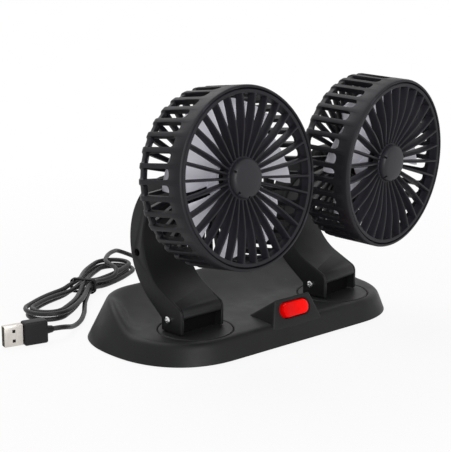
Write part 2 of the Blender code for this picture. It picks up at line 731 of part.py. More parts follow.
def make_turntable(side, swivel):
    """A disc in its well, with the arm's mounting block on it and a retainer under the deck."""
    disc_bottom = WELL_FLOOR + RUNNING_FIT - DECK_HEIGHT
    stub_bottom = WELL_FLOOR - WELL_WALL - STUB_DROP - DECK_HEIGHT
    bore = RETAINER_SCREW_RADIUS + FIT
    profile = [
        (0, stub_bottom + RETAINER_SCREW_LENGTH),
        (bore, stub_bottom + RETAINER_SCREW_LENGTH),
        (bore, stub_bottom),
        (STUB_RADIUS, stub_bottom),
        (STUB_RADIUS, disc_bottom),
        (DISC_RADIUS, disc_bottom),
        (DISC_RADIUS, 0),
        (0, 0),
    ]
    disc = add(f"turntable_{side}", turned(profile, "Z", DISC_STEPS), BLACK_SATIN, swivel)
    low = (-MOUNT_HALF_WIDTH, MOUNT_FRONT, disc_bottom / 2)
    high = (MOUNT_HALF_WIDTH, MOUNT_BACK, MOUNT_TOP)
    combine(disc, box(low, high), "UNION", swivel)
    centre = (0, MOUNT_SCREW_Y, MOUNT_SCREW_RISE)
    hole_end = MOUNT_HALF_WIDTH - MOUNT_SCREW_GRIP
    holes = [
        rod("X", MOUNT_SCREW_RADIUS + FIT, direction * hole_end, direction * ARM_WIDTH, SCREW_STEPS, centre)
        for direction in (-1, 1)
    ]
    combine(disc, merged(holes), "DIFFERENCE", swivel)
    washer_top = stub_bottom - FIT
    retainer = [
        (0, stub_bottom + RETAINER_SCREW_LENGTH - FIT),
        (RETAINER_SCREW_RADIUS, stub_bottom + RETAINER_SCREW_LENGTH - FIT),
        (RETAINER_SCREW_RADIUS, washer_top),
        (RETAINER_RADIUS, washer_top),
        (RETAINER_RADIUS, washer_top - RETAINER_THICKNESS),
        (0, washer_top - RETAINER_THICKNESS),
    ]
    add(f"turntable_retainer_{side}", turned(retainer, "Z", FOOT_STEPS), STEEL, swivel)


def arm_outline():
    """The side view of an arm: a C between its foot and the fork, joined to both by tangents."""
    centre = Vector((ARM_CENTRE_Y, ARM_CENTRE_RISE))
    fork = Vector((PIVOT_Y, PIVOT_RISE))
    toe = Vector((ARM_FRONT + TOE_RADIUS, TOE_RISE))
    heel = Vector((ARM_BACK, HEEL_RISE))
    to_fork, to_toe, to_heel = fork - centre, toe - centre, heel - centre

    def turn_of(direction):
        return math.atan2(direction.y, direction.x)

    inner_top = turn_of(to_fork) - math.acos((ARM_INNER_RADIUS + FORK_RADIUS) / to_fork.length)
    inner_foot = turn_of(to_toe) + math.acos((ARM_INNER_RADIUS + TOE_RADIUS) / to_toe.length)
    outer_foot = turn_of(to_heel) + math.acos(ARM_OUTER_RADIUS / to_heel.length)
    squares = ARM_OUTER_RADIUS**2 + to_fork.length_squared - FORK_RADIUS**2
    outer_top = turn_of(to_fork) - math.acos(squares / (ARM_OUTER_RADIUS * to_fork.length * 2))
    crossing = centre + Vector((math.cos(outer_top), math.sin(outer_top))) * ARM_OUTER_RADIUS
    outline = arc(fork, FORK_RADIUS, turn_of(crossing - fork), inner_top + math.pi, TOE_ARC_STEP)
    outline += arc(centre, ARM_INNER_RADIUS, inner_top, inner_foot, ARM_ARC_STEP)
    outline += arc(toe, TOE_RADIUS, inner_foot + math.pi, math.pi, TOE_ARC_STEP)
    outline += [(ARM_FRONT, FIT), (ARM_BACK, FIT), tuple(heel)]
    outline += arc(centre, ARM_OUTER_RADIUS, outer_foot, outer_top, ARM_ARC_STEP)[:-1]
    return outline


def make_arm(side, swivel):
    """A C arm: its foot stands over the mounting block, its head is a fork."""
    half = ARM_WIDTH / 2
    arm = add(f"arm_{side}", prism("X", arm_outline(), -half, half), BLACK_SATIN, swivel)
    soften(arm, ARM_EDGE_ROUND, 1, math.radians(60))
    slot = LUG_WIDTH / 2 + LUG_SIDE_FIT
    slot_back = PIVOT_Y + LUG_RADIUS + SLOT_BACK_FIT
    low = (-slot, PIVOT_Y - FORK_RADIUS - OVERRUN, PIVOT_RISE - FORK_RADIUS * 2)
    high = (slot, slot_back, PIVOT_RISE + FORK_RADIUS + OVERRUN)
    combine(arm, box(low, high), "DIFFERENCE", swivel)
    before = ARM_FRONT - OVERRUN
    room = [
        (before, -OVERRUN),
        (MOUNT_BACK + FIT, -OVERRUN),
        (MOUNT_BACK + FIT, MOUNT_TOP + FIT),
        (MOUNT_FRONT - FIT, MOUNT_TOP + FIT),
        (MOUNT_FRONT - FIT, WINDOW_TOP),
        (before, WINDOW_TOP),
    ]
    combine(arm, prism("X", room, -MOUNT_HALF_WIDTH - FIT, MOUNT_HALF_WIDTH + FIT), "DIFFERENCE", swivel)
    pivot = (0, PIVOT_Y, PIVOT_RISE)
    reach = half + OVERRUN
    mount_screw = (0, MOUNT_SCREW_Y, MOUNT_SCREW_RISE)
    arm_screw = (
        0,
        ARM_CENTRE_Y + ARM_SCREW_PLACE_RADIUS * math.cos(ARM_SCREW_ANGLE),
        ARM_CENTRE_RISE + ARM_SCREW_PLACE_RADIUS * math.sin(ARM_SCREW_ANGLE),
    )
    seat = half - ARM_SCREW_RECESS - ARM_SCREW_LENGTH - FIT
    cuts = [
        rod("X", MOUNT_SCREW_RADIUS + FIT, -reach, reach, SCREW_STEPS, mount_screw),
        rod("X", RIVET_RADIUS + FIT, -reach, reach, SCREW_STEPS, pivot),
        rod("X", ARM_SCREW_RADIUS + FIT, -reach, -seat, SCREW_STEPS, arm_screw),
    ]
    combine(arm, merged(cuts), "DIFFERENCE", swivel)
    screw = rod("X", ARM_SCREW_RADIUS, -half + ARM_SCREW_RECESS, -seat - FIT, SCREW_STEPS)
    add(f"arm_screw_{side}", screw, BLACK_MATT, swivel, arm_screw)
    head = half + FIT
    rivet = [
        (0, -head - RIVET_HEAD_HEIGHT),
        (RIVET_HEAD_RADIUS, -head - RIVET_HEAD_HEIGHT),
        (RIVET_HEAD_RADIUS, -head),
        (RIVET_RADIUS, -head),
        (RIVET_RADIUS, head),
        (RIVET_HEAD_RADIUS, head),
        (RIVET_HEAD_RADIUS, head + RIVET_HEAD_HEIGHT),
        (0, head + RIVET_HEAD_HEIGHT),
    ]
    add(f"tilt_rivet_{side}", turned(rivet, "X", SCREW_STEPS), BLACK_MATT, swivel, pivot)
    tip = MOUNT_HALF_WIDTH - MOUNT_SCREW_GRIP + FIT
    for direction, where in ((-1, "left"), (1, "right")):
        screw = [
            (0, direction * tip),
            (MOUNT_SCREW_RADIUS, direction * tip),
            (MOUNT_SCREW_RADIUS, direction * head),
            (MOUNT_HEAD_RADIUS, direction * head),
            (MOUNT_HEAD_RADIUS, direction * (head + MOUNT_HEAD_HEIGHT)),
            (0, direction * (head + MOUNT_HEAD_HEIGHT)),
        ]
        add(f"mount_screw_{side}_{where}", turned(screw, "X", SCREW_STEPS), STEEL, swivel, mount_screw)


# Heads: the head's own origin is its tilt pivot, and depths count back from the ring's front plane


def at_depth(depth):
    """The place along the head's Y of a depth behind the ring's front plane."""
    return depth - RING_REACH


def polar(radius, turn, depth):
    """A point of the drum."""
    return Vector((radius * math.cos(turn), at_depth(depth), radius * math.sin(turn)))


def patterned(bm, count):
    """Repeat one sector round the drum's axis and weld the copies."""
    pitch = math.tau / count
    bmesh.ops.spin(
        bm,
        geom=bm.verts[:] + bm.edges[:] + bm.faces[:],
        cent=(0, 0, 0),
        axis=AXES["Y"],
        angle=math.tau - pitch,
        steps=count - 1,
        use_duplicate=True,
    )
    bmesh.ops.remove_doubles(bm, verts=bm.verts, dist=MERGE * 10)
    return bm


def panel(bm, *points):
    """One face through these points."""
    return bm.faces.new([bm.verts.new(point) for point in points])


def cage_sector():
    """One slot's pitch of the cage: band, side bar, rear rim, spoke and hub plate."""
    bm = bmesh.new()
    pitch = math.tau / SLOT_COUNT
    middle = pitch / 2
    edge = BAR_WIDTH / 2 / DRUM_RADIUS
    along, drop = SLOT_ARCH_SHARES
    shoulder = edge + (middle - edge) * along
    arch = [
        (-middle, BAND_DEPTH),
        (-shoulder, BAND_DEPTH + SLOT_END_DEPTH * drop),
        (-edge, BAND_DEPTH + SLOT_END_DEPTH),
        (edge, BAND_DEPTH + SLOT_END_DEPTH),
        (shoulder, BAND_DEPTH + SLOT_END_DEPTH * drop),
        (middle, BAND_DEPTH),
    ]
    inner_radius = DRUM_RADIUS - BAR_THICKNESS
    outer_arch = [polar(DRUM_RADIUS, middle + turn, depth) for turn, depth in arch]
    inner_arch = [polar(inner_radius, middle + turn, depth) for turn, depth in arch]
    seat_radius = DRUM_RADIUS - BAND_RIM
    section = [
        (DRUM_RADIUS, BAND_BEVEL),
        (DRUM_RADIUS - BAND_BEVEL, 0),
        (seat_radius, 0),
        (seat_radius, SEAT_DEPTH),
        (inner_radius, SEAT_DEPTH),
    ]
    starts = [polar(radius, 0, depth) for radius, depth in section]
    ends = [polar(radius, pitch, depth) for radius, depth in section]
    panel(bm, *outer_arch, ends[0], starts[0])
    panel(bm, *inner_arch, ends[-1], starts[-1])
    for step in range(len(section) - 1):
        panel(bm, starts[step], ends[step], ends[step + 1], starts[step + 1])
    for step in (0, 1, 3, 4):
        panel(bm, outer_arch[step], outer_arch[step + 1], inner_arch[step + 1], inner_arch[step])
    rear_front = DRUM_DEPTH - REAR_RIM_DEPTH
    plate_front = DRUM_DEPTH - BAR_THICKNESS
    corner_middle = REAR_CORNER_RADIUS * math.sqrt(1 / 2)

    def across(radius, depth, width):
        """The points of a ring at the sector's start, at both sides of a bar and at the sector's end."""
        half = width / 2 / radius
        return [polar(radius, turn, depth) for turn in (0, middle - half, middle + half, pitch)]

    rim = [
        across(DRUM_RADIUS, rear_front, BAR_WIDTH),
        across(DRUM_RADIUS, DRUM_DEPTH - REAR_CORNER_RADIUS, BAR_WIDTH),
        across(
            DRUM_RADIUS - REAR_CORNER_RADIUS + corner_middle,
            DRUM_DEPTH - REAR_CORNER_RADIUS + corner_middle,
            BAR_WIDTH,
        ),
        across(DRUM_RADIUS - REAR_CORNER_RADIUS, DRUM_DEPTH, BAR_WIDTH),
        across(REAR_SLOT_RADIUS, DRUM_DEPTH, BAR_WIDTH),
        across(REAR_SLOT_RADIUS, plate_front, BAR_WIDTH),
        across(inner_radius, rear_front, BAR_WIDTH),
    ]
    hub = [
        across(HUB_PLATE_RADIUS, DRUM_DEPTH, BAR_HUB_WIDTH),
        across(HUB_PLATE_RADIUS, plate_front, BAR_HUB_WIDTH),
    ]
    bore = [[polar(HUB_PLATE_BORE, turn, depth) for turn in (0, pitch)] for depth in (DRUM_DEPTH, plate_front)]
    panel(bm, *rim[0], rim[1][3], rim[1][0])
    panel(bm, rim[1][0], rim[1][3], rim[2][3], rim[2][0])
    panel(bm, rim[2][0], rim[2][3], rim[3][3], rim[3][0])
    panel(bm, rim[3][0], rim[3][3], *rim[4][::-1])
    panel(bm, *rim[5], *rim[6][::-1])
    panel(bm, *hub[0], bore[0][1], bore[0][0])
    panel(bm, *hub[1], bore[1][1], bore[1][0])
    panel(bm, bore[0][0], bore[0][1], bore[1][1], bore[1][0])
    for back, front in ((rim[4], rim[5]), (rim[6], rim[0]), hub):
        panel(bm, back[0], back[1], front[1], front[0])
        panel(bm, back[2], back[3], front[3], front[2])
    arch_end = (outer_arch[2], outer_arch[3], inner_arch[3], inner_arch[2])
    bar_end = (rim[0][1], rim[0][2], rim[6][2], rim[6][1])
    spoke_start = (rim[4][1], rim[4][2], rim[5][2], rim[5][1])
    spoke_end = (hub[0][1], hub[0][2], hub[1][2], hub[1][1])
    for near, far in ((arch_end, bar_end), (spoke_start, spoke_end)):
        for step in range(4):
            panel(bm, near[step - 1], near[step], far[step], far[step - 1])
    return bm


def grille_sector():
    """One vane's pitch of the front grille: ring, vane and hub."""
    bm = bmesh.new()
    pitch = math.tau / VANE_COUNT
    middle = pitch / 2
    outer_radius = DRUM_RADIUS - BAND_RIM - GRILLE_RING_FIT
    inner_radius = outer_radius - GRILLE_RING_WIDTH
    back = SEAT_DEPTH - FIT
    stations = [
        (inner_radius, GRILLE_FRONT, back, VANE_THICKNESS),
        (VANE_MIDDLE_RADIUS, VANE_MIDDLE_FRONT, VANE_MIDDLE_BACK, VANE_THICKNESS),
        (GRILLE_HUB_RADIUS, GRILLE_HUB_FRONT, GRILLE_HUB_BACK, VANE_HUB_THICKNESS),
    ]
    corners = []
    for radius, front_depth, back_depth, thickness in stations:
        half = thickness / 2 / radius
        corners.append(
            (
                polar(radius, middle - half, front_depth),
                polar(radius, middle + half, front_depth),
                polar(radius, middle + half, back_depth),
                polar(radius, middle - half, back_depth),
            )
        )
    for near, far in zip(corners, corners[1:]):
        for step in range(4):
            panel(bm, near[step - 1], near[step], far[step], far[step - 1])

    def rim(section, far_radius, front_depth, back_depth):
        """The band between this vane's end and the ring's or hub's other edge."""
        front_left, front_right, back_right, back_left = section
        radius = front_left.xz.length
        near = [[polar(radius, turn, depth) for turn in (0, pitch)] for depth in (front_depth, back_depth)]
        far = [[polar(far_radius, turn, depth) for turn in (0, pitch)] for depth in (front_depth, back_depth)]
        panel(bm, near[0][0], front_left, back_left, near[1][0])
        panel(bm, front_right, near[0][1], near[1][1], back_right)
        panel(bm, near[0][0], front_left, front_right, near[0][1], far[0][1], far[0][0])
        panel(bm, near[1][0], back_left, back_right, near[1][1], far[1][1], far[1][0])
        panel(bm, far[0][0], far[0][1], far[1][1], far[1][0])

    rim(corners[0], outer_radius, GRILLE_FRONT, back)
    rim(corners[-1], GRILLE_HUB_BORE, GRILLE_HUB_FRONT, GRILLE_HUB_BACK)
    return bm


def depth_turned(profile, steps=ROUND_STEPS):
    """A turned piece of the head, its profile given by depths."""
    return turned([(radius, at_depth(depth)) for radius, depth in profile], "Y", steps)


def make_bracket(side, pivot):
    """The bracket behind the drum: a flange on the hub plate, with a lug for the fork."""
    boss_front = motor_back() + FIT
    flange_front = DRUM_DEPTH + FIT
    flange_back = flange_front + BRACKET_FLANGE
    profile = [
        (0, boss_front),
        (HUB_PLATE_BORE - FIT, boss_front),
        (HUB_PLATE_BORE - FIT, flange_front),
        (BRACKET_FLANGE_RADIUS, flange_front),
        (BRACKET_FLANGE_RADIUS, flange_back),
        (0, flange_back),
    ]
    bracket = add(f"head_bracket_{side}", depth_turned(profile), BLACK_SATIN, pivot)
    buried = at_depth(flange_back - BRACKET_FLANGE / 2)
    outline = [(buried, -LUG_RADIUS)]
    outline += arc((0, 0), LUG_RADIUS, -math.pi / 2, math.pi / 2, math.pi / BRACKET_STEPS * 2)
    outline += [(buried, LUG_RADIUS)]
    combine(bracket, prism("X", outline, -LUG_WIDTH / 2, LUG_WIDTH / 2), "UNION", pivot)
    bore = rod("X", RIVET_RADIUS + RUNNING_FIT, -LUG_WIDTH, LUG_WIDTH, SCREW_STEPS)
    combine(bracket, bore, "DIFFERENCE", pivot)


def motor_back():
    """The depth of the motor's back face, on the hub plate."""
    return DRUM_DEPTH - BAR_THICKNESS - FIT


def make_head(side, pivot):
    """Cage, front grille, cap, bracket and motor."""
    add(f"cage_{side}", patterned(cage_sector(), SLOT_COUNT), BLACK_SATIN, pivot)
    add(f"front_grille_{side}", patterned(grille_sector(), VANE_COUNT), BLACK_SATIN, pivot)
    seat = GRILLE_HUB_FRONT - FIT
    cap = [
        (0, CAP_FRONT),
        (CAP_RADIUS / 2, CAP_FRONT + CAP_DOME / 4),
        (CAP_RADIUS - CAP_EDGE, CAP_FRONT + CAP_DOME),
        (CAP_RADIUS, CAP_FRONT + CAP_DOME + CAP_EDGE),
        (CAP_RADIUS, seat),
        (GRILLE_HUB_BORE - FIT, seat),
        (GRILLE_HUB_BORE - FIT, seat + CAP_PEG_LENGTH),
        (0, seat + CAP_PEG_LENGTH),
    ]
    add(f"hub_cap_{side}", depth_turned(cap), BLACK_SATIN, pivot)
    make_bracket(side, pivot)
    motor = [
        (0, MOTOR_FRONT + SHAFT_BORE_DEPTH),
        (SHAFT_RADIUS + FIT, MOTOR_FRONT + SHAFT_BORE_DEPTH),
        (SHAFT_RADIUS + FIT, MOTOR_FRONT),
        (MOTOR_RADIUS - MOTOR_EDGE, MOTOR_FRONT),
        (MOTOR_RADIUS, MOTOR_FRONT + MOTOR_EDGE),
        (MOTOR_RADIUS, motor_back() - MOTOR_EDGE),
        (MOTOR_RADIUS - MOTOR_EDGE, motor_back()),
        (0, motor_back()),
    ]
    add(f"motor_{side}", depth_turned(motor), BLACK_MATT, pivot)


def rotor_blade(phase, root_radius):
    """One blade: a stretch of helicoid with a thickness, widest in the middle of its span."""
    bm = bmesh.new()
    rows = len(BLADE_WIDTH_SHARES) - 1
    grids = []
    for shift in (0, BLADE_THICKNESS):
        grid = []
        for row, width_share in enumerate(BLADE_WIDTH_SHARES):
            radius = root_radius + (BLADE_TIP_RADIUS - root_radius) * row / rows
            centre = phase + BLADE_LEAN * row / rows
            line = []
            for step in range(BLADE_CHORD_STEPS + 1):
                across = (step / BLADE_CHORD_STEPS - 1 / 2) * width_share
                depth = (BLADE_FRONT + BLADE_BACK) / 2 + (BLADE_BACK - BLADE_FRONT) * across + shift
                line.append(bm.verts.new(polar(radius, centre + BLADE_SWEEP * across, depth)))
            grid.append(line)
        grids.append(grid)
    for grid in grids:
        for lower, upper in zip(grid, grid[1:]):
            for step in range(BLADE_CHORD_STEPS):
                bm.faces.new((lower[step], lower[step + 1], upper[step + 1], upper[step]))
    borders = []
    for grid in grids:
        border = grid[0] + [line[-1] for line in grid[1:]] + grid[-1][-2::-1] + [line[0] for line in grid[-2:0:-1]]
        borders.append(border)
    for step in range(len(borders[0])):
        bm.faces.new((borders[0][step - 1], borders[0][step], borders[1][step], borders[1][step - 1]))
    bmesh.ops.recalc_face_normals(bm, faces=bm.faces)
    return bm


def make_rotor(side, spin):
    """Shaft, hub and the ring of blades."""
    bore_end = SHAFT_FRONT - FIT
    shaft = [
        (0, SHAFT_FRONT),
        (SHAFT_RADIUS, SHAFT_FRONT),
        (SHAFT_RADIUS, MOTOR_FRONT + SHAFT_BORE_DEPTH - FIT),
        (0, MOTOR_FRONT + SHAFT_BORE_DEPTH - FIT),
    ]
    add(f"rotor_shaft_{side}", depth_turned(shaft, SCREW_STEPS), STEEL, spin)
    hub = [
        (0, ROTOR_HUB_FRONT),
        (ROTOR_HUB_RADIUS / 2, ROTOR_HUB_FRONT + ROTOR_HUB_DOME / 4),
        (ROTOR_HUB_RADIUS - ROTOR_HUB_DOME, ROTOR_HUB_FRONT + ROTOR_HUB_DOME),
        (ROTOR_HUB_RADIUS, ROTOR_HUB_FRONT + ROTOR_HUB_DOME * 2),
        (ROTOR_HUB_RADIUS, ROTOR_HUB_BACK),
        (SHAFT_RADIUS + FIT, ROTOR_HUB_BACK),
        (SHAFT_RADIUS + FIT, bore_end),
        (0, bore_end),
    ]
    add(f"rotor_hub_{side}", depth_turned(hub), BLACK_MATT, spin)
    inner = ROTOR_HUB_RADIUS + FIT
    outer = inner + COLLAR_THICKNESS
    collar = [(inner, COLLAR_FRONT), (outer, COLLAR_FRONT), (outer, ROTOR_HUB_BACK), (inner, ROTOR_HUB_BACK)]
    blades = add(f"rotor_blades_{side}", depth_turned(collar), PALE_LILAC, spin)
    root = inner + COLLAR_THICKNESS / 2
    phases = [BLADE_PHASE + math.tau * count / BLADE_COUNT for count in range(BLADE_COUNT)]
    combine(blades, merged([rotor_blade(phase, root) for phase in phases]), "UNION", spin)


def make_side(side, direction, yaw, pitch):
    """One turntable, arm and head."""
    swivel = axis_empty(
        f"{side}_swivel", (direction * SWIVEL_X, SWIVEL_Y, DECK_HEIGHT), rotation=(0, 0, yaw)
    )
    pivot = axis_empty(f"{side}_pivot", (0, PIVOT_Y, PIVOT_RISE), swivel, rotation=(-pitch, 0, 0))
    spin = axis_empty(f"{side}_spin", (0, 0, 0), pivot)
    make_turntable(side, swivel)
    make_arm(side, swivel)
    make_head(side, pivot)
    make_rotor(side, spin)


# Cord


def hank_middle():
    """The phase, in loops, at which the hank's spiral turns back and changes layer."""
    return hank_start_phase() + (hank_end_phase() - hank_start_phase()) / 2


def hank_straight():
    """Half the length between the centres of the hank's folds."""
    return HANK_HALF_LENGTH - HANK_FOLD_RADIUS - HANK_STEP * HANK_LOOPS / 2


def hank_start_phase():
    """The lead comes in just before the tie, on the near side's run."""
    return HANK_RUN_SHARE * (1 - HANK_START / hank_straight()) / 2


def hank_end_phase():
    """The tail leaves just past the tie, on the same side."""
    return HANK_LOOPS + HANK_RUN_SHARE * (1 + HANK_START / hank_straight()) / 2


def hank_point(phase):
    """A point of the hank's formula, in its own frame, at a phase counted in loops."""
    straight = hank_straight()
    from_middle = phase - hank_middle()
    width = HANK_FOLD_RADIUS + HANK_STEP * abs(from_middle)
    half = 1 / 2
    share = phase % 1
    side = -1 if share < half else 1
    along = share % half
    if along < HANK_RUN_SHARE:
        u = straight * (1 - along / HANK_RUN_SHARE * 2) * -side
        v = side * width
    else:
        turn = math.pi * (along - HANK_RUN_SHARE) / (half - HANK_RUN_SHARE)
        u = side * (straight + width * math.sin(turn))
        v = side * width * math.cos(turn)
    waist = math.exp(-((u / HANK_WAIST_LENGTH) ** 2))
    v -= side * HANK_DRAW * waist
    climb = smooth_step(1 / 2 - from_middle / HANK_RUN_SHARE)
    lift = math.exp(-((u / HANK_LIFT_LENGTH) ** 4))
    return Vector((u, v, CORD_LIE + HANK_LAYER * climb + HANK_LIFT * lift))


def hank_points():
    """The hank's route, in its own frame. Each end has a straight piece as long as the cord is thick."""
    start, end = hank_start_phase(), hank_end_phase()
    straight = HANK_RUN_SHARE * CORD_RADIUS / hank_straight()
    steps = range(math.ceil((start + straight) * HANK_LOOP_POINTS), int((end - straight) * HANK_LOOP_POINTS) + 1)
    phases = [start, start + straight, *[step / HANK_LOOP_POINTS for step in steps], end - straight, end]
    return [hank_point(phase) for phase in phases]


def hank_placing():
    """The turn and move that lay the hank down in the world."""
    return Matrix.Translation((*HANK_CENTRE, 0)) @ Matrix.Rotation(HANK_ANGLE, 4, "Z")


def segment_gap(first, second):
    """The least distance between two straight pieces of the hank, measured on points along them."""
    checks = 8
    least = math.inf
    for one in range(checks + 1):
        point = first[0].lerp(first[1], one / checks)
        run = second[1] - second[0]
        share = min(1, max(0, (point - second[0]).dot(run) / run.length_squared))
        least = min(least, (point - second[0].lerp(second[1], share)).length)
    return least


def print_hank_gap(points):
    """Print the hank's length and the least gap between its turns."""
    pieces = list(zip(points, points[1:]))
    least = min(
        segment_gap(first, second)
        for index, first in enumerate(pieces)
        for second in pieces[index + 5 :]
        if (first[0] - second[0]).length < HANK_FOLD_RADIUS * 3
    )
    length = sum((end - start).length for start, end in pieces)
    print(f"hank: length {length * 1000:.0f} mm, least gap {(least - CORD_RADIUS * 2) * 1000:.2f} mm")


def smooth_route(route, count):
    """A route's straight end pieces, and evenly spaced points on a smooth curve between them."""
    points = [Vector(point) for point in route]
    knots = points[1:-1]
    ways = [(points[1] - points[0]).normalized()]
    for before, here, after in zip(knots, knots[1:], knots[2:]):
        near, far = (here - before).length, (after - here).length
        ways.append(((here - before) * (far / near) + (after - here) * (near / far)) / (near + far))
    ways.append((points[-1] - points[-2]).normalized())
    dense = []
    steps = 24
    for start, end, way_in, way_out in zip(knots, knots[1:], ways, ways[1:]):
        reach = (end - start).length
        for step in range(steps):
            t = step / steps
            near = start * (t**3 * 2 - t**2 * 3 + 1) + way_in * reach * (t**3 - t**2 * 2 + t)
            dense.append(near + end * (t**2 * 3 - t**3 * 2) + way_out * reach * (t**3 - t**2))
    dense.append(knots[-1])
    lengths = [0.0]
    for start, end in zip(dense, dense[1:]):
        lengths.append(lengths[-1] + (end - start).length)
    even = []
    index = 0
    for step in range(count):
        target = lengths[-1] * step / (count - 1)
        while index < len(lengths) - 2 and lengths[index + 1] < target:
            index += 1
        share = (target - lengths[index]) / (lengths[index + 1] - lengths[index])
        even.append(dense[index].lerp(dense[index + 1], share))
    return [points[0], *even, points[-1]]


def cord_tube(name, points, resolution):
    """A round cord through these points."""
    curve = bpy.data.curves.new(name, "CURVE")
    curve.dimensions = "3D"
    curve.bevel_depth = CORD_RADIUS
    curve.bevel_resolution = resolution
    curve.use_fill_caps = True
    spline = curve.splines.new("POLY")
    spline.points.add(len(points) - 1)
    for spline_point, point in zip(spline.points, points):
        spline_point.co = (*point, 1)
    curve.materials.append(finish(name, CORD_BLACK))
    tube = bpy.data.objects.new(name, curve)
    bpy.context.collection.objects.link(tube)


def plug_direction():
    """The way the plug points, from its cord to its tip."""
    return Vector((math.cos(PLUG_ANGLE), math.sin(PLUG_ANGLE), 0))


def make_cord():
    """Lead, hank and tail, which meet end to end."""
    placed = hank_placing()
    hank = [placed @ point for point in hank_points()]
    print_hank_gap(hank)
    cord_tube("cord_hank", hank, 1)
    straight = CORD_RADIUS * 2
    start_way = (hank[1] - hank[0]).normalized()
    end_way = (hank[-1] - hank[-2]).normalized()
    gland_end = Vector((GLAND_X, GLAND_BACK + FIT, GLAND_HEIGHT))
    lead_end = hank[0] - start_way * FIT
    lead_start = [gland_end, gland_end + AXES["Y"] * straight]
    over_hank = [placed @ Vector(point) for point in LEAD_OVER_HANK]
    lead = [*lead_start, *LEAD_ROUTE, *over_hank, lead_end - start_way * straight, lead_end]
    cord_tube("cord_lead", smooth_route(lead, LEAD_POINTS), 2)
    tail_start = hank[-1] + end_way * FIT
    plug_back = Vector((PLUG_X, PLUG_Y, PLUG_BODY_HEIGHT / 2))
    tail_end = plug_back - plug_direction() * (PLUG_NECK_LENGTH + FIT)
    tail_finish = [tail_end - plug_direction() * straight, tail_end]
    tail = [tail_start, tail_start + end_way * straight, *TAIL_ROUTE, *tail_finish]
    cord_tube("cord_tail", smooth_route(tail, TAIL_POINTS), 2)


def rounded_outline(low, high, radius, steps):
    """A rectangle with round corners."""
    step = math.pi / 2 / steps
    corners = [
        ((high[0] - radius, high[1] - radius), 0),
        ((low[0] + radius, high[1] - radius), math.pi / 2),
        ((low[0] + radius, low[1] + radius), math.pi),
        ((high[0] - radius, low[1] + radius), math.pi * 3 / 2),
    ]
    return [point for centre, start in corners for point in arc(centre, radius, start, start + math.pi / 2, step)]


def make_tie():
    """The tie round the hank's waist, as wide and high as the cord there needs."""
    route = hank_points()
    inside = []
    for start, end in zip(route, route[1:]):
        for edge in (-TIE_WIDTH / 2, TIE_WIDTH / 2):
            if min(start.x, end.x) < edge < max(start.x, end.x):
                inside.append(start.lerp(end, (edge - start.x) / (end.x - start.x)))
    room = CORD_RADIUS + FIT
    low = (min(point.y for point in inside) - room, min(point.z for point in inside) - room)
    high = (max(point.y for point in inside) + room, max(point.z for point in inside) + room)
    inner = rounded_outline(low, high, CORD_RADIUS, 2)
    thick = TIE_THICKNESS
    outer = rounded_outline(
        (low[0] - thick, low[1] - thick), (high[0] + thick, high[1] + thick), CORD_RADIUS + thick, 2
    )
    bm = bmesh.new()
    loops = [
        [bm.verts.new(place("X", first, second, along)) for first, second in outline]
        for along in (-TIE_WIDTH / 2, TIE_WIDTH / 2)
        for outline in (outer, inner)
    ]
    for one, other in ((0, 1), (1, 3), (3, 2), (2, 0)):
        for step in range(len(outer)):
            bm.faces.new((loops[one][step - 1], loops[one][step], loops[other][step], loops[other][step - 1]))
    add("hank_tie", bm, BLACK_MATT, location=(*HANK_CENTRE, 0), rotation=(0, 0, HANK_ANGLE))


def make_plug():
    """The plug on its edge: moulded body, open metal shell and the tongue in it."""
    frame = axis_empty("plug_frame", (PLUG_X, PLUG_Y, PLUG_BODY_HEIGHT / 2), rotation=(0, 0, PLUG_ANGLE))
    half_thick, half_high = PLUG_BODY_THICKNESS / 2, PLUG_BODY_HEIGHT / 2
    block = box((0, -half_thick, -half_high), (PLUG_BODY_LENGTH, half_thick, half_high))
    body = add("plug_body", block, BLACK_SATIN, frame)
    soften(body, PLUG_BODY_ROUND, 2, math.radians(60))
    neck = turned(
        [
            (0, -PLUG_NECK_LENGTH),
            (CORD_RADIUS + FIT, -PLUG_NECK_LENGTH),
            (PLUG_NECK_RADIUS, PLUG_BODY_ROUND),
            (0, PLUG_BODY_ROUND),
        ],
        "X",
    )
    combine(body, neck, "UNION", frame)
    start = PLUG_BODY_LENGTH + FIT
    end = start + PLUG_SHELL_LENGTH
    half_thick, half_high = PLUG_SHELL_THICKNESS / 2, PLUG_SHELL_HEIGHT / 2
    shell = add("plug_shell", box((start, -half_thick, -half_high), (end, half_thick, half_high)), STEEL, frame)
    wall = PLUG_SHELL_WALL
    floor = start + wall
    room = box((floor, wall - half_thick, wall - half_high), (end + OVERRUN, half_thick - wall, half_high - wall))
    combine(shell, room, "DIFFERENCE", frame)
    window_x = start + PLUG_SHELL_LENGTH / 2
    windows = []
    for side in (-1, 1):
        middle = side * PLUG_WINDOW_SPACING / 2
        low = (window_x - PLUG_WINDOW / 2, -half_thick - OVERRUN, middle - PLUG_WINDOW / 2)
        high = (window_x + PLUG_WINDOW / 2, half_thick + OVERRUN, middle + PLUG_WINDOW / 2)
        windows.append(box(low, high))
    combine(shell, merged(windows), "DIFFERENCE", frame)
    tongue_low = (floor + FIT, half_thick - wall - FIT - PLUG_TONGUE_THICKNESS, wall + FIT - half_high)
    tongue_high = (end - PLUG_SOCKET_DEPTH, half_thick - wall - FIT, half_high - wall - FIT)
    add("plug_tongue", box(tongue_low, tongue_high), PLUG_WHITE, frame)


def main():
    """Build the whole fan."""
    clear_scene()
    rocker_axis = rocker_frame()
    make_base(rocker_axis)
    make_switch(rocker_axis)
    make_bottom()
    make_gland()
    make_side("left", -1, LEFT_SWIVEL, LEFT_PITCH)
    make_side("right", 1, RIGHT_SWIVEL, RIGHT_PITCH)
    make_cord()
    make_tie()
    make_plug()


main()
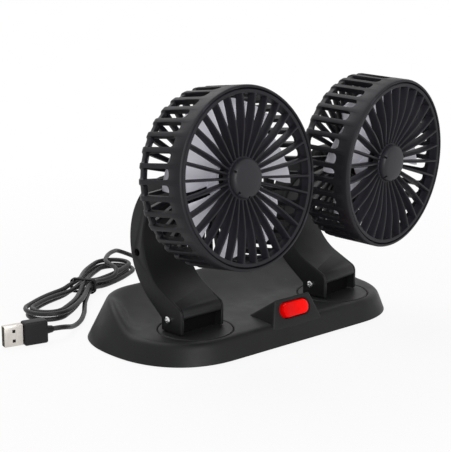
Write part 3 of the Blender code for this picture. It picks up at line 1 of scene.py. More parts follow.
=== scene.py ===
"""The look of a desk fan with two drum heads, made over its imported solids.

Metres, +Z up, in the part's own frame: X runs along the base, and the heads blow towards -Y. Each
class below holds one sub-assembly's sizes and makes and dresses its pieces.
"""

import logging
import math
from collections.abc import Callable, Iterable, Sequence
from dataclasses import dataclass
from enum import Enum

import bmesh
import bpy
from mathutils import Matrix, Vector


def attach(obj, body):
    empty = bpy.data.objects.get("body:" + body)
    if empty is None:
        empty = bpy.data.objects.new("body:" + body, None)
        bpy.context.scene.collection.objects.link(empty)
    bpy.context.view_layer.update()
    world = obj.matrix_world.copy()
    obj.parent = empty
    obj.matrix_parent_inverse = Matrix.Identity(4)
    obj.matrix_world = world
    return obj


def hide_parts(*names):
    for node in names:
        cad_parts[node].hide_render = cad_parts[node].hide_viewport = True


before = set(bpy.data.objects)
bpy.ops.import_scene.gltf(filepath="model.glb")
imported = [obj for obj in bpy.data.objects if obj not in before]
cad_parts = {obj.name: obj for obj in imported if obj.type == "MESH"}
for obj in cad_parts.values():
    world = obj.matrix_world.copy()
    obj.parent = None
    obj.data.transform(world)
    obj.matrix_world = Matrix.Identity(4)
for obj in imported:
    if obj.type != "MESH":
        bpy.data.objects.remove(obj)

LOG = logging.getLogger("desk_fan")
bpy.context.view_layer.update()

Colour = tuple[float, float, float]
Pair = tuple[float, float]
Triple = tuple[float, float, float]
Ring = list[Vector]
Shape = bmesh.types.BMesh
Corner = bmesh.types.BMVert
Piece = bpy.types.Object
Socket = bpy.types.NodeSocket

FIT = 0.0003
OVERRUN = 0.002
MERGE = 0.000005
FINE_MERGE = MERGE / 10
SMOOTH_ANGLE = math.radians(35)
NOISE_RANGE = (0.3, 0.7)
UNIT_RANGE = (0.0, 1.0)
PLAIN_WHITE = (1.0, 1.0, 1.0, 1.0)


class Axis(Enum):
    """A main direction, with the direction that a turned section starts in."""

    X = (Vector((1, 0, 0)), Vector((0, 0, 1)))
    Y = (Vector((0, 1, 0)), Vector((1, 0, 0)))
    Z = (Vector((0, 0, 1)), Vector((1, 0, 0)))


class Operation(Enum):
    """What a tool does to its target."""

    CUT = "DIFFERENCE"
    JOIN = "UNION"


class Slot(Enum):
    """The record's material slots."""

    SATIN = "black_satin"
    MATT = "black_matt"
    BLADE = "blade_lilac"
    ROCKER = "rocker_red"
    RUBBER = "foot_rubber"
    STEEL = "steel"
    CORD = "cord_black"
    WHITE = "plug_white"


class Side(Enum):
    """One of the fan's two sides."""

    LEFT = "left"
    RIGHT = "right"


# Finishes


class Tree:
    """A node tree, put together by short calls."""

    def __init__(self, owner: bpy.types.Material | bpy.types.World) -> None:
        """Take up the owner's tree.

        Args:
            owner: The material or the world.
        """
        owner.use_nodes = True
        self.tree = owner.node_tree

    def add(self, kind: str, **settings: object) -> bpy.types.Node:
        """Add a node.

        Args:
            kind: Blender's name for the node.
            settings: The node's own properties.

        Returns:
            The node.
        """
        node = self.tree.nodes.new(kind)
        for name, value in settings.items():
            setattr(node, name, value)
        return node

    def feed(self, socket: Socket, value: object) -> None:
        """Link a socket's output in, or set a plain value.

        Args:
            socket: The input.
            value: An output socket, a number or a colour.
        """
        if isinstance(value, Socket):
            self.tree.links.new(value, socket)
        else:
            socket.default_value = value

    def between(self, value: Socket, source: Pair, target: Pair) -> Socket:
        """A value moved from one range to another.

        Args:
            value: The value.
            source: The range that it has.
            target: The range that it gets.

        Returns:
            The moved value.
        """
        node = self.add("ShaderNodeMapRange")
        self.feed(node.inputs["Value"], value)
        for name, number in zip(("From Min", "From Max", "To Min", "To Max"), (*source, *target)):
            self.feed(node.inputs[name], number)
        return node.outputs["Result"]


class NodeBench(Tree):
    """One material's tree round its shader."""

    def __init__(self, name: str) -> None:
        """Start a material with its shader.

        Args:
            name: The material's name.
        """
        self.material = bpy.data.materials.new(name)
        super().__init__(self.material)
        self.shader = self.tree.nodes["Principled BSDF"]
        self.place = self.add("ShaderNodeTexCoord").outputs["Object"]

    def stretched(self, stretch: Triple) -> Socket:
        """The object's own coordinates, stretched along its axes.

        Args:
            stretch: The factor along each axis.

        Returns:
            The coordinates.
        """
        mapping = self.add("ShaderNodeMapping")
        self.feed(mapping.inputs["Vector"], self.place)
        self.feed(mapping.inputs["Scale"], stretch)
        return mapping.outputs["Vector"]

    def noise(self, size: float, detail: float = 2.0, stretch: Triple = (1, 1, 1)) -> Socket:
        """Soft mottling.

        Args:
            size: The width of a patch, in metres.
            detail: How much finer mottling lies over it.
            stretch: The factor along each axis.

        Returns:
            A value about a half.
        """
        texture = self.add("ShaderNodeTexNoise")
        self.feed(texture.inputs["Vector"], self.stretched(stretch))
        self.feed(texture.inputs["Scale"], 1 / size)
        self.feed(texture.inputs["Detail"], detail)
        return texture.outputs["Fac"]

    def pits(self, size: float) -> Socket:
        """The spark-worn texture of a mould.

        Args:
            size: The width of a pit, in metres.

        Returns:
            The distance from the nearest pit.
        """
        texture = self.add("ShaderNodeTexVoronoi")
        self.feed(texture.inputs["Vector"], self.place)
        self.feed(texture.inputs["Scale"], 1 / size)
        return texture.outputs["Distance"]

    def edges(self) -> Socket:
        """The mask of the painted edge highlight: how far a place stands out as an edge, nought to
        one.
        """
        geometry = self.add("ShaderNodeNewGeometry")
        return self.between(geometry.outputs["Pointiness"], (0.53, 0.60), UNIT_RANGE)

    def sum_of(self, first: Socket, second: object, share: float) -> Socket:
        """Two values added, the second by a share.

        Args:
            first: The first value.
            second: The second value.
            share: How much of the second counts.

        Returns:
            The sum.
        """
        node = self.add("ShaderNodeMath", operation="MULTIPLY_ADD")
        self.feed(node.inputs[0], second)
        self.feed(node.inputs[1], share)
        self.feed(node.inputs[2], first)
        return node.outputs["Value"]

    def blend(self, share: object, first: object, second: object) -> Socket:
        """Two colours mixed.

        Args:
            share: How much of the second shows.
            first: The first colour.
            second: The second colour.

        Returns:
            The mixed colour.
        """
        node = self.add("ShaderNodeMix", data_type="RGBA")
        self.feed(node.inputs[0], share)
        for socket, colour in ((node.inputs[6], first), (node.inputs[7], second)):
            self.feed(socket, (*colour, 1.0) if isinstance(colour, tuple) else colour)
        return node.outputs[2]

    def relief(self, height: Socket, depth: float) -> None:
        """Let a height shape the shader's surface.

        Args:
            height: The height, from nought to one.
            depth: The depth of the relief, in metres.
        """
        bump = self.add("ShaderNodeBump")
        self.feed(bump.inputs["Height"], height)
        self.feed(bump.inputs["Distance"], depth)
        self.feed(self.shader.inputs["Normal"], bump.outputs["Normal"])

    def coat(self, **values: object) -> None:
        """Feed the shader's own sockets.

        Args:
            values: What each gets, by its name with an underscore for a space.
        """
        for name, value in values.items():
            self.feed(self.shader.inputs[name.replace("_", " ")], value)


def shade(colour: Colour, factor: float) -> Colour:
    """A colour made lighter or darker.

    Args:
        colour: The colour.
        factor: The factor on each channel.

    Returns:
        The new colour.
    """
    return tuple(min(1.0, channel * factor) for channel in colour)


@dataclass(frozen=True)
class Moulded:
    """A moulded plastic or rubber: grained, faintly mottled, with a painted highlight lightening
    its edges.
    """

    name: str
    slot: Slot
    colour: Colour
    roughness: float
    specular: float = 0.4
    grain: float = 0.0005
    depth: float = 0.00003
    mottling: float = 0.12
    edge_highlight: float = 1.8

    def material(self) -> bpy.types.Material:
        """Make the material.

        Returns:
            The material.
        """
        bench = NodeBench(self.name)
        cloud = bench.between(bench.noise(0.02, 3.0), NOISE_RANGE, UNIT_RANGE)
        dark, light = shade(self.colour, 1 - self.mottling), shade(self.colour, 1 + self.mottling)
        body = bench.blend(cloud, dark, light)
        # Painted highlight: the colour is lightened along the edges, by the edges mask.
        colour = bench.blend(bench.edges(), body, shade(self.colour, self.edge_highlight))
        spread = (self.roughness - 0.05, self.roughness + 0.06)
        smudge = bench.between(bench.noise(0.012, 4.0), NOISE_RANGE, spread)
        bench.coat(Base_Color=colour, Roughness=smudge, Specular_IOR_Level=self.specular)
        grain = bench.sum_of(bench.pits(self.grain), bench.noise(self.grain * 2, 2.0), 0.6)
        bench.relief(grain, self.depth)
        return bench.material


@dataclass(frozen=True)
class Plated:
    """A bright metal with fine marks from its working."""

    name: str
    slot: Slot
    colour: Colour
    roughness: float
    marks: Triple = (1, 1, 14)

    def material(self) -> bpy.types.Material:
        """Make the material.

        Returns:
            The material.
        """
        bench = NodeBench(self.name)
        lines = bench.noise(0.0008, 3.0, self.marks)
        tone = bench.between(bench.noise(0.006, 2.0), NOISE_RANGE, UNIT_RANGE)
        colour = bench.blend(tone, shade(self.colour, 0.9), self.colour)
        rough = bench.between(lines, NOISE_RANGE, (self.roughness - 0.06, self.roughness + 0.08))
        bench.coat(Base_Color=colour, Metallic=1.0, Roughness=rough)
        bench.relief(lines, 0.000008)
        return bench.material


@dataclass(frozen=True)
class RedWithPaintedGlow:
    """The rocker's clear red plastic: deep red on the pressed half, with a painted highlight paler
    towards its rounded far end, and a painted glow.
    """

    name: str
    slot: Slot
    deep: Colour
    pale: Colour
    half_length: float
    roughness: float = 0.28
    specular: float = 0.08
    glow: float = 0.3

    def material(self) -> bpy.types.Material:
        """Make the material.

        Returns:
            The material.
        """
        bench = NodeBench(self.name)
        axes = bench.add("ShaderNodeSeparateXYZ")
        bench.feed(axes.inputs["Vector"], bench.place)
        # Painted highlight: the red pales towards the far end along X, broken into streaks by
        # noise.
        reach = (-self.half_length * 0.4, self.half_length * 0.7)
        along = bench.between(axes.outputs["X"], reach, UNIT_RANGE)
        streaks = bench.between(bench.noise(0.0025, 3.0), (0.35, 0.7), (-0.15, 0.35))
        share = bench.sum_of(along, streaks, 0.6)
        colour = bench.blend(share, self.deep, self.pale)
        # Painted glow: the colour is also emitted.
        bench.coat(Base_Color=colour, Emission_Color=colour, Emission_Strength=self.glow)
        bench.coat(Roughness=self.roughness, Specular_IOR_Level=self.specular)
        bench.relief(bench.noise(0.003, 1.0), 0.00003)
        return bench.material


Finish = Moulded | Plated | RedWithPaintedGlow

SATIN = Moulded("satin_charcoal_plastic", Slot.SATIN, (0.0105, 0.0108, 0.0115), 0.46, 0.18)
BASE_SATIN = Moulded("base_charcoal_plastic", Slot.SATIN, (0.0120, 0.0123, 0.0130), 0.46, 0.16)
# The head's vanes and bars get a stronger painted edge highlight.
HEAD_SATIN = Moulded(
    "head_charcoal_plastic", Slot.SATIN, (0.0105, 0.0098, 0.0125), 0.44, 0.18, edge_highlight=2.6
)
CAP_SATIN = Moulded("cap_plastic", Slot.SATIN, (0.0225, 0.0215, 0.026), 0.36, 0.22)
MATT = Moulded("matt_black_plastic", Slot.MATT, (0.006, 0.006, 0.0065), 0.65, 0.12)
# Painted shade: the turntable block is far darker than the other black plastics, to show the shade
# in the arm's window.
BLOCK_PAINTED_SHADE = Moulded(
    "block_plastic_painted_shade", Slot.MATT, (0.0028, 0.0028, 0.003), 0.8, 0.06, edge_highlight=1.0
)
BLADE = Moulded(
    "lilac_blade_plastic", Slot.BLADE, (0.78, 0.77, 0.84), 0.4, mottling=0.04, edge_highlight=1.1
)
RUBBER = Moulded("foot_rubber", Slot.RUBBER, (0.02, 0.02, 0.02), 0.85, 0.3, grain=0.0008)
SLEEVE = Moulded(
    "cord_sleeve", Slot.CORD, (0.015, 0.015, 0.016), 0.42, 0.25, grain=0.0009, depth=0.00002
)
PLUG_GREY = Moulded("plug_moulding", Slot.SATIN, (0.014, 0.014, 0.015), 0.5, 0.16)
WHITE = Moulded(
    "plug_tongue_plastic", Slot.WHITE, (0.8, 0.79, 0.76), 0.45, mottling=0.03, edge_highlight=1.0
)
STEEL = Plated("bright_steel", Slot.STEEL, (0.74, 0.74, 0.75), 0.24)
SHELL_STEEL = Plated("plug_shell_steel", Slot.STEEL, (0.60, 0.57, 0.53), 0.34, (1, 14, 14))
CONTACT = Plated("gilt_contact", Slot.STEEL, (0.83, 0.62, 0.28), 0.28)
# The rocker's red, with a painted highlight and a painted glow.
RED = RedWithPaintedGlow("rocker_red_painted_glow", Slot.ROCKER, (0.62, 0.0008, 0.0006), (0.84, 0.005, 0.0035), 0.0108)

MATERIALS: dict[str, bpy.types.Material] = {}


def dress(piece: Piece, finish: Finish) -> None:
    """Give a piece its finish.

    Args:
        piece: The piece.
        finish: Its finish.
    """
    if finish.name not in MATERIALS:
        MATERIALS[finish.name] = finish.material()
    piece.data.materials.clear()
    piece.data.materials.append(MATERIALS[finish.name])


def dress_nodes(names: Iterable[str], finish: Finish) -> None:
    """Give solids that stay as they are their finish.

    Args:
        names: The solids' names.
        finish: Their finish.
    """
    for name in names:
        dress(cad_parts[name], finish)
        LOG.info("%s keeps its solid, in %s", name, finish.name)


# Shapes


def turned(profile: Sequence[Pair], axis: Axis, steps: int = 48) -> Shape:
    """A solid of revolution.

    Args:
        profile: Radius and place along the axis of each point, in order round the section.
        axis: The axis.
        steps: The number of facets.

    Returns:
        The mesh.
    """
    bm = bmesh.new()
    along, radial = axis.value
    verts = [bm.verts.new(radial * radius + along * place) for radius, place in profile]
    pairs = list(zip(verts, verts[1:]))
    if min(radius for radius, _ in profile) > 0:
        pairs.append((verts[-1], verts[0]))
    edges = [bm.edges.new(pair) for pair in pairs]
    bmesh.ops.spin(
        bm,
        geom=verts + edges,
        cent=(0, 0, 0),
        axis=along,
        angle=math.tau,
        steps=steps,
        use_merge=True,
    )
    bmesh.ops.remove_doubles(bm, verts=bm.verts, dist=FINE_MERGE)
    return bm


def rod(axis: Axis, radius: float, start: float, end: float, centre: Triple = (0, 0, 0)) -> Shape:
    """A plain round bar or hole along an axis.

    Args:
        axis: The axis.
        radius: Its radius.
        start: Where it starts along the axis.
        end: Where it ends.
        centre: The point that the axis passes through.

    Returns:
        The mesh.
    """
    bm = turned([(0, start), (radius, start), (radius, end), (0, end)], axis, 40)
    bmesh.ops.translate(bm, verts=bm.verts, vec=centre)
    return bm


def prism(axis: Axis, outline: Sequence[Pair], start: float, end: float) -> Shape:
    """An outline pushed along an axis.

    Args:
        axis: The axis.
        outline: The places across the axis, in X, Y, Z order.
        start: Where the prism starts.
        end: Where it ends.

    Returns:
        The mesh.
    """
    order = {Axis.X: (2, 0, 1), Axis.Y: (0, 2, 1), Axis.Z: (0, 1, 2)}[axis]

    def placed(pair: Pair) -> Vector:
        """A point of the outline at the prism's start."""
        values = (*pair, start)
        return Vector(values[index] for index in order)

    bm = bmesh.new()
    face = bm.faces.new([bm.verts.new(placed(pair)) for pair in outline])
    pushed = bmesh.ops.extrude_face_region(bm, geom=[face])["geom"]
    verts = [found for found in pushed if isinstance(found, Corner)]
    bmesh.ops.translate(bm, verts=verts, vec=axis.value[0] * (end - start))
    return bm


def box(low: Triple, high: Triple) -> Shape:
    """A block between two corners.

    Args:
        low: The lowest corner.
        high: The highest corner.

    Returns:
        The mesh.
    """
    outline = [(low[0], low[1]), (high[0], low[1]), (high[0], high[1]), (low[0], high[1])]
    return prism(Axis.Z, outline, low[2], high[2])


def merged(meshes: Iterable[Shape]) -> Shape:
    """Several shells in one mesh.

    Args:
        meshes: The shells.

    Returns:
        The mesh.
    """
    whole = bmesh.new()
    for bm in meshes:
        mesh = bpy.data.meshes.new("shell")
        bm.to_mesh(mesh)
        bm.free()
        whole.from_mesh(mesh)
        bpy.data.meshes.remove(mesh)
    return whole


def arc(
    centre: Pair, radius: float, start: float, end: float, step: float = math.radians(4)
) -> list[Pair]:
    """Points of an arc, both ends among them.

    Args:
        centre: Its centre.
        radius: Its radius.
        start: The turn at which it starts.
        end: The turn at which it ends.
        step: The largest turn between two points.

    Returns:
        The points.
    """
    steps = max(2, math.ceil(abs(end - start) / step))
    turns = [start + (end - start) * index / steps for index in range(steps + 1)]
    across, up = centre
    return [(across + radius * math.cos(turn), up + radius * math.sin(turn)) for turn in turns]


def rounded_outline(
    low: Pair, high: Pair, radius: float, step: float = math.radians(12)
) -> list[Pair]:
    """A rectangle with round corners.

    Args:
        low: The lowest corner.
        high: The highest corner.
        radius: The corners' radius.
        step: The largest turn between two points.

    Returns:
        The outline.
    """
    corners = [
        ((high[0] - radius, high[1] - radius), 0.0),
        ((low[0] + radius, high[1] - radius), math.pi / 2),
        ((low[0] + radius, low[1] + radius), math.pi),
        ((high[0] - radius, low[1] + radius), math.pi * 3 / 2),
    ]
    outline = []
    for centre, start in corners:
        outline += arc(centre, radius, start, start + math.pi / 2, step)
    return outline


def smooth_step(share: float) -> float:
    """A soft rise from nought to one.

    Args:
        share: How far along the rise.

    Returns:
        The height.
    """
    share = min(1.0, max(0.0, share))
    return share * share * (3 - 2 * share)


def strip(bm: Shape, first: Sequence[Vector], second: Sequence[Vector]) -> None:
    """A row of faces between two lines of points.

    Args:
        bm: The mesh.
        first: One line.
        second: The other, as long as the first.
    """
    for index in range(len(first) - 1):
        corners = (first[index], first[index + 1], second[index + 1], second[index])
        bm.faces.new([bm.verts.new(corner) for corner in corners])


def belt(bm: Shape, lower: Sequence[Corner], upper: Sequence[Corner]) -> None:
    """A closed row of faces between two rings.

    Args:
        bm: The mesh.
        lower: One ring's corners.
        upper: The other's, as many.
    """
    for step in range(len(lower)):
        bm.faces.new((lower[step - 1], lower[step], upper[step], upper[step - 1]))


def round_drum(bm: Shape, count: int) -> Shape:
    """Repeat one sector round the Y axis and weld the copies.

    Args:
        bm: The sector.
        count: The number of sectors.

    Returns:
        The mesh.
    """
    bmesh.ops.spin(
        bm,
        geom=bm.verts[:] + bm.edges[:] + bm.faces[:],
        cent=(0, 0, 0),
        axis=Axis.Y.value[0],
        angle=math.tau - math.tau / count,
        steps=count - 1,
        use_duplicate=True,
    )
    bmesh.ops.remove_doubles(bm, verts=bm.verts, dist=MERGE)
    return bm


def formed(name: str, bm: Shape, matrix: Matrix | None = None) -> Piece:
    """Make an object of a mesh.

    Args:
        name: The object's name.
        bm: The mesh, which is used up.
        matrix: Its place, or nothing for the part's own frame.

    Returns:
        The object.
    """
    bmesh.ops.recalc_face_normals(bm, faces=bm.faces)
    mesh = bpy.data.meshes.new(name)
    bm.to_mesh(mesh)
    bm.free()
    piece = bpy.data.objects.new(name, mesh)
    piece.matrix_world = matrix or Matrix()
    bpy.context.collection.objects.link(piece)
    return piece


def settle(piece: Piece) -> None:
    """Make the piece's modifiers part of its mesh.

    Args:
        piece: The piece.
    """
    bpy.context.view_layer.update()
    graph = bpy.context.evaluated_depsgraph_get()
    mesh = bpy.data.meshes.new_from_object(piece.evaluated_get(graph))
    piece.modifiers.clear()
    piece.data = mesh


def combine(piece: Piece, bm: Shape, operation: Operation) -> None:
    """Cut a mesh from the piece, or join it on.

    Args:
        piece: The piece.
        bm: The tool, in the piece's own frame.
        operation: What it does.
    """
    tool = formed("tool", bm, piece.matrix_world.copy())
    boolean = piece.modifiers.new("tool", "BOOLEAN")
    boolean.operation = operation.value
    boolean.solver = "EXACT"
    boolean.object = tool
    settle(piece)
    bpy.data.objects.remove(tool, do_unlink=True)


def soften(piece: Piece, width: float, segments: int = 2, angle: float = 40) -> None:
    """Round the piece's sharper edges.

    Args:
        piece: The piece.
        width: The width of the rounding.
        segments: Its steps.
        angle: The least angle of an edge that it rounds, in degrees.
    """
    bevel = piece.modifiers.new("rounding", "BEVEL")
    bevel.width = width
    bevel.segments = segments
    bevel.limit_method = "ANGLE"
    bevel.angle_limit = math.radians(angle)
    settle(piece)


def finished(
    piece: Piece,
    finish: Finish,
    body: str,
    nodes: Sequence[str] = (),
    angle: float = SMOOTH_ANGLE,
) -> Piece:
    """Shade, dress and place a piece on its body.

    Args:
        piece: The piece.
        finish: Its finish.
        body: The body that it rides on.
        nodes: The solids that it stands for.
        angle: Edges under this angle are shaded smooth.

    Returns:
        The piece.
    """
    if piece.type == "MESH":
        piece.data.shade_smooth()
        piece.data.set_sharp_from_angle(angle=angle)
    dress(piece, finish)
    if nodes:
        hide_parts(*nodes)
    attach(piece, body)
    LOG.info("%s on %s, in %s", piece.name, body, finish.name)
    return piece


# Base


@dataclass
class Base:
    """The low base: shell with its switch hump, wells and pocket, and what is under it."""

    half_length: float = 0.0955
    half_depth: float = 0.051
    end_radius: float = 0.0459
    end_exponent: float = 2.3
    foot_height: float = 0.0006
    deck: float = 0.0125
    rear: float = 0.0252
    deck_back: float = -0.001
    ridge_back: float = 0.039
    ridge_start: float = -0.013
    ridge_end: float = 0.024
    front_draft: float = math.radians(18.5)
    end_draft: float = math.radians(25)
    rear_draft: float = math.radians(26)
    ridge_round: float = 0.0036
    deck_curve: float = 1.5
    rim_start: float = 0.68
    heel_share: float = 0.04
    deck_rows: int = 14
    room_rows: tuple[float, ...] = (0.77, 0.5, 0.0)
    wall: float = 0.0024
    quarter_steps: int = 22
    well_x: float = 0.054
    well_y: float = -0.0225
    well_radius: float = 0.0213
    well_floor: float = 0.0083
    well_wall: float = 0.0022
    well_edge: float = 0.0005
    stub_room: float = 0.0083
    hump_foot: float = 0.0195
    hump_top: float = 0.0135
    hump_height: float = 0.0252
    hump_back: float = -0.022
    hump_back_half: float = 0.0155
    hump_proud: float = 0.0002
    hump_round: float = 0.0026
    rocker_height: float = 0.0184
    gland_x: float = 0.012
    gland_height: float = 0.0064
    gland_radius: float = 0.0029
    gland_front: float = 0.0405
    gland_back: float = 0.057
    gland_ribs: int = 4

    def draft_at(self, front_to_back: float) -> float:
        """The wall's slope, from -1 at the front through 0 at the ends to 1 at the back.

        Args:
            front_to_back: The place along the base's depth.

        Returns:
            The slope, in radians.
        """
        far = self.front_draft if front_to_back < 0 else self.rear_draft
        return self.end_draft + (far - self.end_draft) * abs(front_to_back)

    def deck_height(self, y: float) -> float:
        """The deck is level round the turntables and curves up to the back.

        Args:
            y: The place along the depth.

        Returns:
            The height.
        """
        rise = max(0.0, (y - self.deck_back) / (self.ridge_back - self.deck_back))
        return self.deck + (self.rear - self.deck) * rise**self.deck_curve

    def ridge_height(self, y: float) -> float:
        """The ridge between wall and deck rises along the ends.

        Args:
            y: The place along the depth.

        Returns:
            The height.
        """
        rise = (y - self.ridge_start) / (self.ridge_end - self.ridge_start)
        return self.deck + (self.rear - self.deck) * smooth_step(rise)

    def plan_point(self, side_x: int, side_y: int, turn: float, inset: float) -> Vector:
        """A point of the outline, drawn in by an inset.

        Args:
            side_x: Which end.
            side_y: Front or back.
            turn: The turn within the quarter.
            inset: How far in.

        Returns:
            The point.
        """
        power = 2 / self.end_exponent
        x = self.half_length - self.end_radius + (self.end_radius - inset) * math.cos(turn) ** power
        return Vector((side_x * x, side_y * (self.half_depth - inset) * math.sin(turn) ** power, 0))

    def turns(self) -> list[tuple[int, int, float]]:
        """The outline's points, in order.

        Returns:
            The side of each on X and on Y, and its turn within the quarter.
        """
        rising = [math.pi / 2 * step / self.quarter_steps for step in range(self.quarter_steps + 1)]
        falling = rising[::-1]
        quarters = [(1, 1, rising), (-1, 1, falling), (-1, -1, rising[1:]), (1, -1, falling[:-1])]
        return [(side_x, side_y, turn) for side_x, side_y, quarter in quarters for turn in quarter]

    def section(self, side_x: int, side_y: int, turn: float, wall: float) -> list[Vector]:
        """Points up the wall, round the ridge and in over the deck.

        Args:
            side_x: Which end.
            side_y: Front or back.
            turn: The turn within the quarter.
            wall: The wall's thickness for the room inside, or nought for the outside.

        Returns:
            The points.
        """
        slope = math.tan(self.draft_at(side_y * math.sin(turn) ** (2 / self.end_exponent)))
        foot = self.plan_point(side_x, side_y, turn, wall)
        corner = foot * 0.85
        height = self.deck
        for _ in range(4):
            height = self.ridge_height(corner.y) - wall
            inset = wall + (height - self.foot_height) * slope
            corner = self.plan_point(side_x, side_y, turn, inset)
        corner.z = height
        spine = Vector((side_x * min(abs(corner.x), self.half_length - self.end_radius), 0, 0))
        rise = self.ridge_height(corner.y) - self.deck_height(corner.y)

        def over_deck(share: float) -> Vector:
            """A point of the deck.

            Args:
                share: How far along the way from the middle to the ridge.

            Returns:
                The point.
            """
            point = spine + (Vector((corner.x, corner.y, 0)) - spine) * share
            rim = smooth_step((share - self.rim_start) / (1 - self.rim_start))
            point.z = self.deck_height(point.y) + rise * rim - wall
            return point

        foot.z = self.foot_height - (OVERRUN if wall else 0)
        if wall:
            return [foot, corner] + [over_deck(share) for share in self.room_rows]
        start = corner + (foot - corner).normalized() * self.ridge_round
        shoulder = 1 - self.ridge_round / (corner.xy - spine.xy).length
        inner = over_deck(shoulder)
        bend = [
            start * (1 - t) ** 2 + corner * (2 * t * (1 - t)) + inner * t**2
            for t in (0.0, 0.2, 0.4, 0.6, 0.8, 1.0)
        ]
        shares = [shoulder * (1 - row / self.deck_rows) for row in range(1, self.deck_rows + 1)]
        heel = foot + (start - foot) * self.heel_share
        return [foot, heel, *bend, *[over_deck(share) for share in shares]]

    def form(self, wall: float = 0.0) -> Shape:
        """The outer form, or with a wall the room inside it.

        Args:
            wall: The wall's thickness, or nought.

        Returns:
            The mesh.
        """
        bm = bmesh.new()
        levels = zip(*[self.section(*turn, wall) for turn in self.turns()])
        rings = [[bm.verts.new(point) for point in level] for level in levels]
        for lower, upper in zip(rings, rings[1:]):
            belt(bm, lower, upper)
        bm.faces.new(rings[0][::-1])
        bmesh.ops.remove_doubles(bm, verts=bm.verts, dist=MERGE)
        return bm

    def front_y(self, height: float) -> float:
        """Where the front wall's plane lies.

        Args:
            height: The height.

        Returns:
            The place along the depth.
        """
        return -self.half_depth + (height - self.foot_height) * math.tan(self.front_draft)

    def hump(self) -> Shape:
        """The switch hump, whose face carries the front wall on upwards.

        Returns:
            The mesh.
        """
        buried, sunk = self.deck - self.ridge_round, self.deck - self.wall / 2
        front, top = self.front_y(buried), self.front_y(self.hump_height)
        corners = [
            (self.hump_foot, front - self.hump_proud, buried),
            (self.hump_top, top - self.hump_proud, self.hump_height),
            (self.hump_back_half, self.hump_back, sunk),
            (self.hump_back_half, self.hump_back, buried),
        ]
        bm = bmesh.new()
        for x, y, z in corners:
            bm.verts.new((x, y, z))
            bm.verts.new((-x, y, z))
        bmesh.ops.convex_hull(bm, input=bm.verts)
        bmesh.ops.dissolve_limit(bm, angle_limit=math.radians(1), verts=bm.verts, edges=bm.edges)
        bmesh.ops.bevel(
            bm,
            geom=bm.edges[:],
            offset=self.hump_round,
            segments=6,
            profile=0.5,
            affect="EDGES",
            clamp_overlap=True,
        )
        return bm

    def rocker_frame(self) -> Matrix:
        """The rocker's place: local -Y looks out of the front wall and Z runs up the wall.

        Returns:
            The frame, its origin on the rocker's axis.
        """
        height = self.rocker_height
        face = Vector((0, self.front_y(height) - self.hump_proud, height))
        inward = Vector((0, math.cos(self.front_draft), -math.sin(self.front_draft)))
        place = Matrix.Translation(face + inward * Rocker.axis_depth)
        return place @ Matrix.Rotation(-self.front_draft, 4, "X")

    def build(self) -> None:
        """Make and dress the shell and what is fixed to it."""
        shell = formed("base_shell_form", self.form())
        combine(shell, self.hump(), Operation.JOIN)
        combine(shell, self.form(self.wall), Operation.CUT)
        collars, holes = [], []
        low, edge = self.well_floor - self.well_wall, self.well_edge
        for side in (-1, 1):
            centre = (side * self.well_x, self.well_y, 0)
            around = self.well_radius + self.well_wall
            collars.append(rod(Axis.Z, around, low, self.deck - self.wall / 2, centre))
            seat = [
                (0, low - OVERRUN),
                (self.stub_room, low - OVERRUN),
                (self.stub_room, self.well_floor),
                (self.well_radius, self.well_floor),
                (self.well_radius, self.deck - edge),
                (self.well_radius + edge, self.deck),
                (self.well_radius + edge, self.deck + OVERRUN),
                (0, self.deck + OVERRUN),
            ]
            hole = turned(seat, Axis.Z, 96)
            bmesh.ops.translate(hole, verts=hole.verts, vec=centre)
            holes.append(hole)
        combine(shell, merged(collars), Operation.JOIN)
        gland = (self.gland_x, 0, self.gland_height)
        holes.append(rod(Axis.Y, self.gland_radius + FIT, self.gland_front, self.gland_back, gland))
        combine(shell, merged(holes), Operation.CUT)
        self.cut_pocket(shell)
        finished(shell, BASE_SATIN, "base", ["base_shell"], math.radians(28))
        places = [f"{side.value}_{end}" for side in Side for end in ("front", "back")]
        dress_nodes(["bottom_plate", "switch_body"], MATT)
        dress_nodes([f"foot_{place}" for place in places], RUBBER)
        dress_nodes([f"bottom_screw_{place}" for place in places], STEEL)
        self.build_gland()

    def cut_pocket(self, shell: Piece) -> None:
        """Cut the rocker's pocket, with a narrow softened lip.

        Args:
            shell: The shell.
        """
        rocker = Rocker()
        face = -rocker.axis_depth
        pocket = prism(Axis.Y, rocker.outline(0.0006), face - rocker.proud - OVERRUN, 0.007)
        lip = prism(Axis.Y, rocker.outline(0.0012), face - OVERRUN, face + 0.0003)
        for tool in (pocket, lip):
            bmesh.ops.transform(tool, matrix=self.rocker_frame(), verts=tool.verts)
            combine(shell, tool, Operation.CUT)

    def build_gland(self) -> None:
        """Make the ribbed strain relief behind the base."""
        front, back, collar = self.gland_front, self.gland_back, self.gland_radius + 0.0007
        profile = [(0, front), (collar, front), (collar, front + 0.002)]
        profile += [(self.gland_radius, front + 0.002), (self.gland_radius, 0.0508)]
        for rib in range(self.gland_ribs):
            start = 0.0511 + rib * 0.00142
            radius = self.gland_radius - 0.0002 * rib
            groove = radius - 0.0006
            profile += [(radius, start), (radius, start + 0.0009)]
            profile += [(groove, start + 0.0011), (groove, start + 0.0014)]
        profile += [(0.0021, back - 0.0001), (0.0019, back), (0, back)]
        place = Matrix.Translation((self.gland_x, 0, self.gland_height))
        gland = formed("cord_gland_form", turned(profile, Axis.Y, 32), place)
        finished(gland, MATT, "base", ["cord_gland"])


